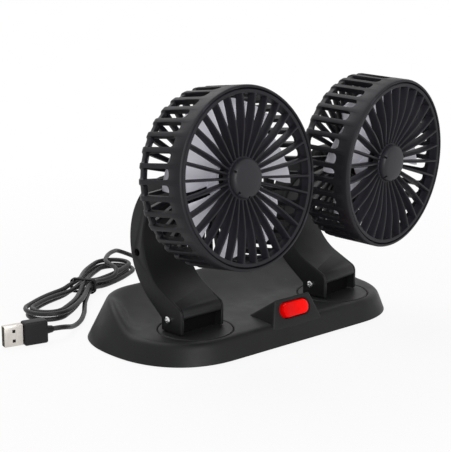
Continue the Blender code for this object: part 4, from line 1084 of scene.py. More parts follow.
@dataclass
class Rocker:
    """The red rocker in its pocket."""

    length: float = 0.0215
    height: float = 0.0084
    proud: float = 0.0016
    axis_depth: float = 0.0015
    depth: float = 0.0042
    hollow: float = 0.0009
    edge: float = 0.0009
    throw: float = math.radians(6)

    def outline(self, margin: float = 0.0) -> list[Pair]:
        """A slot outline with round ends.

        Args:
            margin: How far the outline is moved out.

        Returns:
            The outline.
        """
        radius = self.height / 2 + margin
        reach = self.length / 2 - self.height / 2
        step = math.radians(9)
        right = arc((reach, 0), radius, -math.pi / 2, math.pi / 2, step)
        return right + arc((-reach, 0), radius, math.pi / 2, math.pi * 3 / 2, step)

    def build(self, place: Matrix) -> None:
        """Make the rocker: a soft-edged button, dished along its length.

        Args:
            place: The rocker's frame in the base.
        """
        bm = bmesh.new()
        back = self.depth - self.axis_depth
        front = -self.axis_depth - self.proud
        edge = self.edge
        layers = [(back, 0.0), (front + edge, 0.0), (front + 0.00035, 0.00022), (front, edge)]
        rings = [[bm.verts.new((x, y, z)) for x, z in self.outline(-inset)] for y, inset in layers]
        for lower, upper in zip(rings, rings[1:]):
            belt(bm, lower, upper)
        bm.faces.new(rings[0])
        bm.faces.new(rings[-1][::-1])
        reach = self.length / 2 - self.height / 2
        for share in (-1, -0.5, 0, 0.5, 1):
            whole, cut = bm.verts[:] + bm.edges[:] + bm.faces[:], (reach * share, 0, 0)
            bmesh.ops.bisect_plane(bm, geom=whole, plane_co=cut, plane_no=Axis.X.value[0])
        for vert in bm.verts:
            if vert.co.y < 0:
                vert.co.y += self.hollow * (1 - abs(vert.co.x) / (self.length / 2))
        rocker = formed("rocker_switch_form", bm, place @ Matrix.Rotation(self.throw, 4, "Z"))
        # The rocker's red carries a painted highlight and a painted glow.
        finished(rocker, RED, "rocker", ["rocker_switch"], math.radians(30))


# Turntables, arms and heads


@dataclass
class Stand:
    """Where one side's turntable and head stand at rest."""

    side: Side
    x: float
    yaw: float
    pitch: float
    y: float = -0.0225
    deck: float = 0.0125
    pivot_y: float = -0.0002
    pivot_rise: float = 0.0852
    screw_y: float = 0.0045
    screw_rise: float = 0.0073
    screw_room: float = 0.0016

    @property
    def swivel(self) -> Matrix:
        """The turntable's frame."""
        return Matrix.Translation((self.x, self.y, self.deck)) @ Matrix.Rotation(self.yaw, 4, "Z")

    @property
    def head(self) -> Matrix:
        """The head's frame, at its tilt pivot."""
        lift = Matrix.Translation((0, self.pivot_y, self.pivot_rise))
        return self.swivel @ lift @ Matrix.Rotation(-self.pitch, 4, "X")

    def named(self, piece: str) -> str:
        """A piece's name on this side."""
        return f"{piece}_{self.side.value}"


@dataclass
class Turntable:
    """The disc in its well and the block that carries the arm."""

    stand: Stand
    radius: float = 0.0209
    bottom: float = -0.0038
    edge: float = 0.0005
    stub: float = 0.008
    stub_foot: float = -0.0066
    block_half: float = 0.0135
    block_front: float = -0.0012
    block_back: float = 0.0081
    block_top: float = 0.0113
    screw_end: float = 0.0085

    def build(self) -> None:
        """Make the disc with its block, and dress the retainer under it."""
        stand = self.stand
        body = stand.named("turntable")
        profile = [
            (0, self.stub_foot),
            (self.stub, self.stub_foot),
            (self.stub, self.bottom),
            (self.radius, self.bottom),
            (self.radius, -self.edge),
            (self.radius - self.edge, 0),
            (0, 0),
        ]
        disc = formed(stand.named("turntable_form"), turned(profile, Axis.Z, 96), stand.swivel)
        finished(disc, BASE_SATIN, body, [body])
        low = (-self.block_half, self.block_front, self.bottom / 2)
        block = box(low, (self.block_half, self.block_back, self.block_top))
        piece = formed(stand.named("turntable_block"), block, stand.swivel)
        centre, end = (0, stand.screw_y, stand.screw_rise), self.block_half + OVERRUN
        holes = [
            rod(Axis.X, stand.screw_room, side * self.screw_end, side * end, centre)
            for side in (-1, 1)
        ]
        combine(piece, merged(holes), Operation.CUT)
        # The block's near-black colour is painted shade for the recess behind the arm's window.
        finished(piece, BLOCK_PAINTED_SHADE, body)
        dress_nodes([stand.named("turntable_retainer")], STEEL)


@dataclass
class Arm:
    """The C arm, its tilt rivet and its screws."""

    stand: Stand
    width: float = 0.032
    outer: float = 0.0412
    inner: float = 0.0297
    centre_y: float = -0.0049
    centre_rise: float = 0.0477
    front: float = -0.006
    back: float = 0.0104
    heel: float = 0.0071
    toe_radius: float = 0.005
    toe_rise: float = 0.0108
    fork: float = 0.0062
    window_top: float = 0.0088
    cheek: float = 0.0019
    lip_round: float = 0.0012
    room_half: float = 0.0138
    room_front: float = -0.0038
    room_back: float = 0.0084
    room_top: float = 0.0116
    slot_half: float = 0.0064
    rivet_room: float = 0.0023
    dot_radius: float = 0.0022
    dot_depth: float = 0.0048
    dot_turn: float = math.radians(-11.8)
    dot_reach: float = 0.0357

    def outline(self) -> list[Pair]:
        """The side view: a C between foot and fork, joined to both by tangents.

        Returns:
            The outline, of places along Y and heights.
        """
        centre = Vector((self.centre_y, self.centre_rise))
        fork = Vector((self.stand.pivot_y, self.stand.pivot_rise))
        toe = Vector((self.front + self.toe_radius, self.toe_rise))
        heel = Vector((self.back, self.heel))
        to_fork, to_toe, to_heel = fork - centre, toe - centre, heel - centre

        def turn_of(direction: Vector) -> float:
            """A direction's turn in the side view."""
            return math.atan2(direction.y, direction.x)

        inner_top = turn_of(to_fork) - math.acos((self.inner + self.fork) / to_fork.length)
        inner_foot = turn_of(to_toe) + math.acos((self.inner + self.toe_radius) / to_toe.length)
        outer_foot = turn_of(to_heel) + math.acos(self.outer / to_heel.length)
        squares = self.outer**2 + to_fork.length_squared - self.fork**2
        outer_top = turn_of(to_fork) - math.acos(squares / (self.outer * to_fork.length * 2))
        crossing = centre + Vector((math.cos(outer_top), math.sin(outer_top))) * self.outer
        fork_start, step = turn_of(crossing - fork), math.radians(10)
        outline = arc(fork, self.fork, fork_start, inner_top + math.pi, step)
        outline += arc(centre, self.inner, inner_top, inner_foot)
        outline += arc(toe, self.toe_radius, inner_foot + math.pi, math.pi, math.radians(9))
        outline += [(self.front, FIT), (self.back, FIT), tuple(heel)]
        outline += arc(centre, self.outer, outer_foot, outer_top)[:-1]
        return outline

    def build(self) -> None:
        """Make the arm and what is fixed in it."""
        half = self.width / 2
        stand = self.stand
        body = stand.named("turntable")
        solid = prism(Axis.X, self.outline(), -half, half)
        arm = formed(stand.named("arm_form"), solid, stand.swivel)
        soften(arm, 0.0009, 4, 50)
        pivot_y, pivot_rise = stand.pivot_y, stand.pivot_rise
        low = (-self.slot_half, pivot_y - 0.0082, pivot_rise - 0.0124)
        high = (self.slot_half, pivot_y + 0.0067, pivot_rise + 0.0082)
        combine(arm, box(low, high), Operation.CUT)
        combine(arm, prism(Axis.X, self.room(), -self.room_half, self.room_half), Operation.CUT)
        combine(arm, merged(self.seams()), Operation.CUT)
        screw, pivot = (0, stand.screw_y, stand.screw_rise), (0, pivot_y, pivot_rise)
        dot_y = self.centre_y + self.dot_reach * math.cos(self.dot_turn)
        dot = (0, dot_y, self.centre_rise + self.dot_reach * math.sin(self.dot_turn))
        past = half + OVERRUN
        holes = [
            rod(Axis.X, stand.screw_room, -past, past, screw),
            rod(Axis.X, self.rivet_room, -past, past, pivot),
            rod(Axis.X, self.dot_radius, -past, -half + self.dot_depth, dot),
        ]
        combine(arm, merged(holes), Operation.CUT)
        soften(arm, 0.00022, 2, 60)
        finished(arm, SATIN, body, [stand.named("arm")])
        self.build_rivet(body, pivot_y, pivot_rise)
        dress_nodes([stand.named("arm_screw")], MATT)
        for direction, where in ((-1, "left"), (1, "right")):
            self.build_screw(body, direction, where)

    def room(self) -> list[Pair]:
        """The side view of the room for the block and of the window, under its rounded lip.

        Returns:
            The outline, of places along Y and heights.
        """
        before, top = self.front - OVERRUN, self.window_top + self.lip_round
        outline = [(before, -OVERRUN), (self.room_back, -OVERRUN), (self.room_back, self.room_top)]
        outline += [(self.room_front, self.room_top), (self.room_front, self.window_top)]
        lip = (self.front + self.lip_round, top)
        outline += arc(lip, self.lip_round, -math.pi / 2, -math.pi, math.radians(15))
        return [*outline, (before, top)]

    def seams(self) -> list[Shape]:
        """The narrow grooves beside the foot's cheeks, over its front and its rounded top edge.

        Returns:
            The tool that cuts each groove.
        """
        depth, half = 0.0004, 0.00016
        toe = (self.front + self.toe_radius, self.toe_rise)
        end = math.radians(75)
        band = [(self.front - OVERRUN, self.window_top), (self.front - OVERRUN, self.toe_rise)]
        band += arc(toe, self.toe_radius + OVERRUN, math.pi, end, math.radians(9))
        band += arc(toe, self.toe_radius - depth, end, math.pi, math.radians(9))
        band.append((self.front + depth, self.window_top))
        places = [side * (self.width / 2 - self.cheek) for side in (-1, 1)]
        return [prism(Axis.X, band, place - half, place + half) for place in places]

    def build_rivet(self, body: str, pivot_y: float, pivot_rise: float) -> None:
        """Make the tilt rivet with its domed heads.

        Args:
            body: The body that it rides on.
            pivot_y: Its place along the turntable's Y.
            pivot_rise: Its height over the deck.
        """
        head = self.width / 2 + FIT
        rise = ((0.0034, 0.0), (0.0034, 0.0005), (0.0028, 0.001), (0.0014, 0.0012), (0, 0.0012))
        dome = [(radius, head + height) for radius, height in rise]
        under = [(radius, -place) for radius, place in reversed(dome)]
        profile = under + [(0.002, -head), (0.002, head)] + dome
        place = self.stand.swivel @ Matrix.Translation((0, pivot_y, pivot_rise))
        rivet = formed(self.stand.named("tilt_rivet_form"), turned(profile, Axis.X, 40), place)
        finished(rivet, MATT, body, [self.stand.named("tilt_rivet")])

    def build_screw(self, body: str, direction: int, where: str) -> None:
        """Make one mounting screw: a domed head with a cross recess.

        Args:
            body: The body that it rides on.
            direction: The side of the arm, -1 or 1.
            where: That side's name.
        """
        head, tip = self.width / 2 + FIT, 0.0088
        profile = [
            (0, tip),
            (0.0009, tip),
            (0.0013, tip + 0.0008),
            (0.0013, head),
            (0.002, head),
            (0.002, head + 0.00035),
            (0.0015, head + 0.0007),
            (0.0007, head + 0.0008),
            (0, head + 0.0008),
        ]
        profile = [(radius, direction * place) for radius, place in profile]
        stand = self.stand
        place = stand.swivel @ Matrix.Translation((0, stand.screw_y, stand.screw_rise))
        screw = formed(stand.named(f"mount_screw_form_{where}"), turned(profile, Axis.X, 32), place)
        face = direction * (head + 0.001)
        floor = direction * (head + 0.0001)
        low, high = min(face, floor), max(face, floor)
        for y, z in ((0.0013, 0.00034), (0.00034, 0.0013)):
            combine(screw, box((low, -y, -z), (high, y, z)), Operation.CUT)
        finished(screw, STEEL, body, [f"mount_screw_{stand.side.value}_{where}"])


@dataclass
class Drum:
    """Sizes that the drum's pieces share. Depths count back from the front ring's plane."""

    radius: float = 0.0482
    depth: float = 0.034
    reach: float = 0.0428
    rim: float = 0.0017
    seat: float = 0.0056
    thickness: float = 0.003

    def at(self, depth: float) -> float:
        """The place along the head's Y of a depth."""
        return depth - self.reach

    def point(self, radius: float, turn: float, depth: float) -> Vector:
        """A point of the drum.

        Args:
            radius: Its distance from the axis.
            turn: Its turn round the axis.
            depth: Its depth.

        Returns:
            The point, in the head's frame.
        """
        return Vector((radius * math.cos(turn), self.at(depth), radius * math.sin(turn)))

    def lathe(self, profile: Sequence[Pair], steps: int = 64) -> Shape:
        """A turned piece of the head.

        Args:
            profile: Radius and depth of each point.
            steps: The number of facets.

        Returns:
            The mesh.
        """
        return turned([(radius, self.at(depth)) for radius, depth in profile], Axis.Y, steps)


@dataclass
class Cage:
    """The slotted drum: front band, side bars, rear rim, spokes and hub plate."""

    stand: Stand
    drum: Drum
    slots: int = 36
    band: float = 0.0084
    bar: float = 0.0026
    hub_bar: float = 0.0014
    arch: float = 0.0026
    arch_power: float = 2.5
    rear_arch: float = 0.0012
    rear_rim: float = 0.0047
    rim_dip: float = 0.0013
    rear_corner: float = 0.004
    rear_slot: float = 0.043
    hub: float = 0.0138
    bore: float = 0.006
    arch_steps: int = 5
    corner_steps: int = 5

    def shares(self) -> list[float]:
        """The columns from a slot's middle to the bar beside it, closer together near the bar."""
        count = self.arch_steps
        return [math.sin(math.pi / 2 * step / count) for step in range(count + 1)]

    def ring(
        self, radius: float, depth: Callable[[float], float], width: float, dip: float = 0.0
    ) -> Ring:
        """One sector's points at a radius, from a slot's middle over the bar to the next slot's.

        Args:
            radius: The radius.
            depth: The depth, by the share from the slot's middle to the bar.
            width: The bar's width there.
            dip: How far the ring sinks between the bars.

        Returns:
            The points.
        """
        middle = math.pi / self.slots
        edge = middle - width / 2 / radius
        point = self.drum.point
        columns = [
            (radius - dip * (1 - share**6), edge * share, depth(share)) for share in self.shares()
        ]
        left = [point(*column) for column in columns]
        right = [point(reach, middle * 2 - turn, place) for reach, turn, place in reversed(columns)]
        return [*left, point(radius, middle, depth(1.0)), *right]

    def sector(self) -> Shape:
        """One slot's pitch of the cage.

        Returns:
            The mesh.
        """
        drum, bm = self.drum, bmesh.new()
        inner = drum.radius - drum.thickness
        rear_front = drum.depth - self.rear_rim
        plate_front = drum.depth - drum.thickness

        def rounding(share: float) -> float:
            """How far a slot's end is drawn in at a share of the way to the bar."""
            return 1 - (1 - min(1.0, share) ** self.arch_power) ** (1 / self.arch_power)

        def level(depth: float) -> Callable[[float], float]:
            """A depth that is the same everywhere."""
            return lambda _: depth

        def arched(share: float) -> float:
            """The depth of a slot's front end."""
            return self.band + self.arch * rounding(share)

        def rear_arched(share: float) -> float:
            """The depth of a slot's back end."""
            return rear_front - self.rear_arch * rounding(share)

        band = [
            self.ring(drum.radius, arched, self.bar),
            self.ring(drum.radius, level(0.0011), self.bar),
            self.ring(drum.radius - 0.0003, level(0.0004), self.bar),
            self.ring(drum.radius - 0.001, level(0.0), self.bar),
            self.ring(drum.radius - drum.rim + 0.0002, level(0.0), self.bar),
            self.ring(drum.radius - drum.rim, level(0.0003), self.bar),
            self.ring(drum.radius - drum.rim, level(drum.seat), self.bar),
            self.ring(inner, level(drum.seat), self.bar),
            self.ring(inner, arched, self.bar),
        ]
        corner, bend = self.rear_corner, []
        for step in range(self.corner_steps + 1):
            turn = math.pi / 2 * step / self.corner_steps
            radius = drum.radius - corner + corner * math.cos(turn)
            place = level(drum.depth - corner + corner * math.sin(turn))
            bend.append(self.ring(radius, place, self.bar, self.rim_dip * math.cos(turn)))
        slot_back = self.ring(self.rear_slot, level(drum.depth), self.bar)
        slot_front = self.ring(self.rear_slot, level(plate_front), self.bar)
        rear_outer = self.ring(drum.radius, rear_arched, self.bar, self.rim_dip)
        rear_inner = self.ring(inner, rear_arched, self.bar)
        rim = [rear_outer, *bend, slot_back, slot_front, rear_inner]
        faces = (level(drum.depth), level(plate_front))
        plate = [self.ring(self.hub, face, self.hub_bar) for face in faces]
        bore = [self.ring(self.bore, face, self.hub_bar) for face in faces]
        for lines in (band, rim[:-2], rim[-2:], (bore[0], plate[0]), (bore[1], plate[1]), bore):
            for first, second in zip(lines, lines[1:]):
                strip(bm, first, second)
        count = self.arch_steps
        ends = ((band[0], band[-1]), (slot_back, slot_front), (rear_outer, rear_inner), plate)
        for first, second in ends:
            strip(bm, first[: count + 1], second[: count + 1])
            strip(bm, first[-count - 1 :], second[-count - 1 :])
        bars = [(band[0], band[-1], rear_outer, rear_inner), (slot_back, slot_front, *plate)]
        for outer, inside, outer_end, inside_end in bars:
            across = slice(count, count + 3)
            strip(bm, outer[across], outer_end[across])
            strip(bm, inside[across], inside_end[across])
            for side in (count, count + 2):
                strip(bm, [outer[side], inside[side]], [outer_end[side], inside_end[side]])
        bmesh.ops.remove_doubles(bm, verts=bm.verts, dist=MERGE)
        return bm

    def build(self) -> None:
        """Make the cage."""
        stand = self.stand
        cage = formed(stand.named("cage_form"), round_drum(self.sector(), self.slots), stand.head)
        soften(cage, 0.00028, 2, 50)
        finished(cage, HEAD_SATIN, stand.named("head"), [stand.named("cage")])


@dataclass
class Grille:
    """The front grille: ring, deep radial vanes and hub collar."""

    stand: Stand
    drum: Drum
    vanes: int = 30
    ring_fit: float = 0.0005
    ring_width: float = 0.0022
    front: float = 0.0003
    vane: float = 0.0014
    vane_taper: float = 0.0002
    vane_steps: int = 14
    vane_overlap: float = 0.0006
    dip_start: float = 0.25
    dip_length: float = 0.95
    dip_power: float = 1.25
    back_power: float = 1.2
    hub: float = 0.0114
    hub_front: float = 0.0044
    hub_back: float = 0.0084
    bore: float = 0.005

    def dip(self, share: float) -> float:
        """How far the vanes' front edge has sunk at a share of the way from ring to hub."""
        return smooth_step((share - self.dip_start) / self.dip_length) ** self.dip_power

    def stations(self) -> list[tuple[float, float, float, float]]:
        """The vane's sections from ring to hub.

        Returns:
            The radius, front depth, back depth and thickness of each.
        """
        outer = self.drum.radius - self.drum.rim - self.ring_fit - self.ring_width
        fall = (self.hub_front - self.front) / self.dip(1.0)
        seat = self.drum.seat - FIT
        found = []
        for step in range(self.vane_steps + 1):
            share = step / self.vane_steps
            radius = outer + (self.hub - outer) * share
            back = seat + (self.hub_back - seat) * smooth_step(share) ** self.back_power
            thickness = self.vane - self.vane_taper * share
            found.append((radius, self.front + fall * self.dip(share), back, thickness))
        return found

    def vane_section(self, radius: float, front: float, back: float, thickness: float) -> Ring:
        """A vane's section at a radius, with a rounded front edge.

        Args:
            radius: The radius.
            front: The front edge's depth.
            back: The back edge's depth.
            thickness: The vane's thickness.

        Returns:
            The section's points.
        """
        middle = math.pi / self.vanes
        half = thickness / 2
        side, bend = front + 0.0005, front + 0.0001
        pairs = [(-half, back), (-half, side), (-half * 0.6, bend), (0.0, front)]
        pairs += [(half * 0.6, bend), (half, side), (half, back)]
        return [self.drum.point(radius, middle + across / radius, depth) for across, depth in pairs]

    def build(self) -> None:
        """Make the grille of a turned ring, a turned collar and the vanes between them."""
        drum, stand = self.drum, self.stand
        outer = drum.radius - drum.rim - self.ring_fit
        inner = outer - self.ring_width
        back = drum.seat - FIT
        ring = [
            (outer, back),
            (outer, self.front + 0.0004),
            (outer - 0.0004, self.front),
            (inner + 0.0007, self.front),
            (inner + 0.0002, self.front + 0.0002),
            (inner, self.front + 0.0007),
            (inner, back),
        ]
        collar = [
            (self.hub, self.hub_back),
            (self.hub, self.hub_front + 0.0004),
            (self.hub - 0.0004, self.hub_front),
            (self.bore, self.hub_front),
            (self.bore, self.hub_back),
        ]
        sections = [self.vane_section(*station) for station in self.stations()]
        first, last = self.stations()[0], self.stations()[-1]
        sections.insert(0, self.vane_section(first[0] + self.vane_overlap, *first[1:]))
        sections.append(self.vane_section(last[0] - self.vane_overlap, *last[1:]))
        vane = bmesh.new()
        for near, far in zip(sections, sections[1:]):
            strip(vane, [*near, near[0]], [*far, far[0]])
        for end in (sections[0], sections[-1]):
            vane.faces.new([vane.verts.new(point) for point in end])
        bmesh.ops.remove_doubles(vane, verts=vane.verts, dist=MERGE)
        bmesh.ops.recalc_face_normals(vane, faces=vane.faces)
        shells = [drum.lathe(ring, 120), drum.lathe(collar, 90), round_drum(vane, self.vanes)]
        grille = formed(stand.named("front_grille_form"), merged(shells), stand.head)
        finished(grille, HEAD_SATIN, stand.named("head"), [stand.named("front_grille")])


@dataclass
class HubCap:
    """The button in the middle of the grille, with the small notches of its catch."""

    stand: Stand
    drum: Drum
    radius: float = 0.0106
    front: float = 0.0004
    seat: float = 0.0041
    peg: float = 0.0047
    peg_length: float = 0.0035
    notch_half: float = 0.0006
    notch_turns: tuple[float, ...] = (152, 222, 268)

    def build(self) -> None:
        """Make the cap: a shallow dome in a thin rim."""
        drum, stand, seat = self.drum, self.stand, self.seat
        profile = [
            (0, self.front),
            (0.003, self.front + 0.00005),
            (0.006, self.front + 0.0002),
            (0.0083, self.front + 0.00045),
            (0.0092, self.front + 0.0007),
            (0.0098, self.front + 0.0011),
            (0.0102, self.front + 0.0015),
            (self.radius, self.front + 0.0022),
            (self.radius, seat),
            (self.peg, seat),
            (self.peg, seat + self.peg_length),
            (0, seat + self.peg_length),
        ]
        cap = formed(stand.named("hub_cap_form"), drum.lathe(profile, 72), stand.head)
        half = self.notch_half
        for degrees in self.notch_turns:
            low = (self.radius - 0.0014, drum.at(-0.001), -half)
            notch = box(low, (self.radius + 0.001, drum.at(0.0028), half))
            turn = Matrix.Rotation(-math.radians(degrees), 3, "Y")
            bmesh.ops.rotate(notch, cent=(0, 0, 0), matrix=turn, verts=notch.verts)
            combine(cap, notch, Operation.CUT)
        finished(cap, CAP_SATIN, stand.named("head"), [stand.named("hub_cap")])


@dataclass
class Rotor:
    """Shaft, hub and the ring of lilac blades."""

    stand: Stand
    drum: Drum
    hub: float = 0.0114
    hub_front: float = 0.0093
    hub_back: float = 0.0205
    tip: float = 0.0422
    front: float = 0.0112
    back: float = 0.0205
    thickness: float = 0.0011
    sweep: float = math.radians(44)
    lean: float = math.radians(-10)
    phase: float = math.radians(172)
    tip_narrowing: float = 0.12
    tip_start: float = 0.55
    corner: float = 0.0016
    corner_start: float = 0.7
    edge_thinning: float = 0.55
    shaft: float = 0.0013
    shaft_end: float = 0.0142
    blades: int = 7
    rows: int = 10
    columns: int = 12

    def width_share(self, share: float) -> float:
        """The blade's width at a share of its span."""
        past = max(0.0, (share - self.tip_start) / (1 - self.tip_start))
        return 1.0 - self.tip_narrowing * past**2

    def blade_point(self, share: float, column: float, side: int, phase: float) -> Vector:
        """A point of a blade.

        Args:
            share: How far along its span.
            column: How far across its width.
            side: Its front face, 0, or its back face, 1.
            phase: The turn of the blade's middle.

        Returns:
            The point.
        """
        root = self.hub + FIT + 0.0004
        across = (column - 1 / 2) * self.width_share(share)
        edge = abs(across) * 2
        corner = max(0.0, edge - self.corner_start) / (1 - self.corner_start)
        radius = root + (self.tip - root) * share - self.corner * corner**3 * share**4
        thin = 1 - self.edge_thinning * edge**4
        shift = self.thickness * (1 / 2 + (side - 1 / 2) * thin)
        depth = (self.front + self.back) / 2 + (self.back - self.front) * across + shift
        return self.drum.point(radius, phase + self.lean * share + self.sweep * across, depth)

    def blade(self, phase: float) -> Shape:
        """One blade: a stretch of helicoid with rounded corners at its tip.

        Args:
            phase: The turn of the blade's middle.

        Returns:
            The mesh.
        """
        spans = [row / self.rows for row in range(self.rows + 1)]
        widths = [column / self.columns for column in range(self.columns + 1)]
        grids = [
            [[self.blade_point(share, column, side, phase) for column in widths] for share in spans]
            for side in (0, 1)
        ]
        bm = bmesh.new()
        for grid in grids:
            for lower, upper in zip(grid, grid[1:]):
                strip(bm, lower, upper)
        borders = []
        for grid in grids:
            far, near = [line[-1] for line in grid[1:]], [line[0] for line in grid[-2::-1]]
            borders.append(grid[0] + far + grid[-1][-2::-1] + near)
        strip(bm, *borders)
        bmesh.ops.remove_doubles(bm, verts=bm.verts, dist=MERGE)
        bmesh.ops.recalc_face_normals(bm, faces=bm.faces)
        return bm

    def build(self) -> None:
        """Make the hub and the blades, and dress the shaft."""
        stand, body = self.stand, self.stand.named("rotor")
        hub = [
            (0, self.hub_front),
            (0.005, self.hub_front + 0.0002),
            (0.0085, self.hub_front + 0.0006),
            (0.0102, self.hub_front + 0.0013),
            (0.011, self.hub_front + 0.002),
            (self.hub, self.hub_front + 0.003),
            (self.hub, self.hub_back),
            (self.shaft, self.hub_back),
            (self.shaft, self.shaft_end),
            (0, self.shaft_end),
        ]
        piece = formed(stand.named("rotor_hub_form"), self.drum.lathe(hub, 64), stand.head)
        finished(piece, MATT, body, [stand.named("rotor_hub")])
        inner, front, back = self.hub + FIT, 0.0115, self.hub_back
        outer = inner + 0.0009
        collar = [(inner, front), (outer, front), (outer, back), (inner, back)]
        phases = [self.phase + math.tau * count / self.blades for count in range(self.blades)]
        shells = [self.drum.lathe(collar, 64), *[self.blade(phase) for phase in phases]]
        blades = formed(stand.named("rotor_blades_form"), merged(shells), stand.head)
        finished(blades, BLADE, body, [stand.named("rotor_blades")], math.radians(50))
        dress_nodes([stand.named("rotor_shaft")], STEEL)


@dataclass
class Head:
    """One drum head: cage, grille, cap, motor and bracket, with its rotor."""

    stand: Stand
    drum: Drum
    lug: float = 0.0058
    lug_half: float = 0.006
    rivet_room: float = 0.0024

    def build(self) -> None:
        """Make the head's pieces in order, from the outside in."""
        Cage(self.stand, self.drum).build()
        Grille(self.stand, self.drum).build()
        HubCap(self.stand, self.drum).build()
        self.build_motor()
        self.build_bracket()
        Rotor(self.stand, self.drum).build()

    def build_motor(self) -> None:
        """Make the motor can behind the rotor."""
        front, back = 0.0214, 0.0307
        can = [
            (0, 0.0279),
            (0.0013, 0.0279),
            (0.0013, front),
            (0.0093, front),
            (0.0102, front + 0.0003),
            (0.0105, front + 0.0012),
            (0.0105, front + 0.004),
            (0.0102, front + 0.0044),
            (0.0105, front + 0.0048),
            (0.0105, back - 0.0012),
            (0.0093, back),
            (0, back),
        ]
        motor = formed(self.stand.named("motor_form"), self.drum.lathe(can, 48), self.stand.head)
        finished(motor, MATT, self.stand.named("head"), [self.stand.named("motor")])

    def build_bracket(self) -> None:
        """Make the bracket that joins the drum to the fork."""
        flange = [
            (0, 0.031),
            (0.0057, 0.031),
            (0.0057, 0.0343),
            (0.0105, 0.0343),
            (0.011, 0.0348),
            (0.011, 0.0355),
            (0.0105, 0.036),
            (0, 0.036),
        ]
        stand = self.stand
        bracket = formed(stand.named("head_bracket_form"), self.drum.lathe(flange, 64), stand.head)
        buried = self.drum.at(0.0352)
        lug, half = self.lug, self.lug_half
        round_end = arc((0, 0), lug, -math.pi / 2, math.pi / 2, math.radians(8))
        outline = [(buried, -lug), *round_end, (buried, lug)]
        combine(bracket, prism(Axis.X, outline, -half, half), Operation.JOIN)
        combine(bracket, rod(Axis.X, self.rivet_room, -half * 2, half * 2), Operation.CUT)
        soften(bracket, 0.0003, 2, 50)
        finished(bracket, SATIN, stand.named("head"), [stand.named("head_bracket")])


# Cord


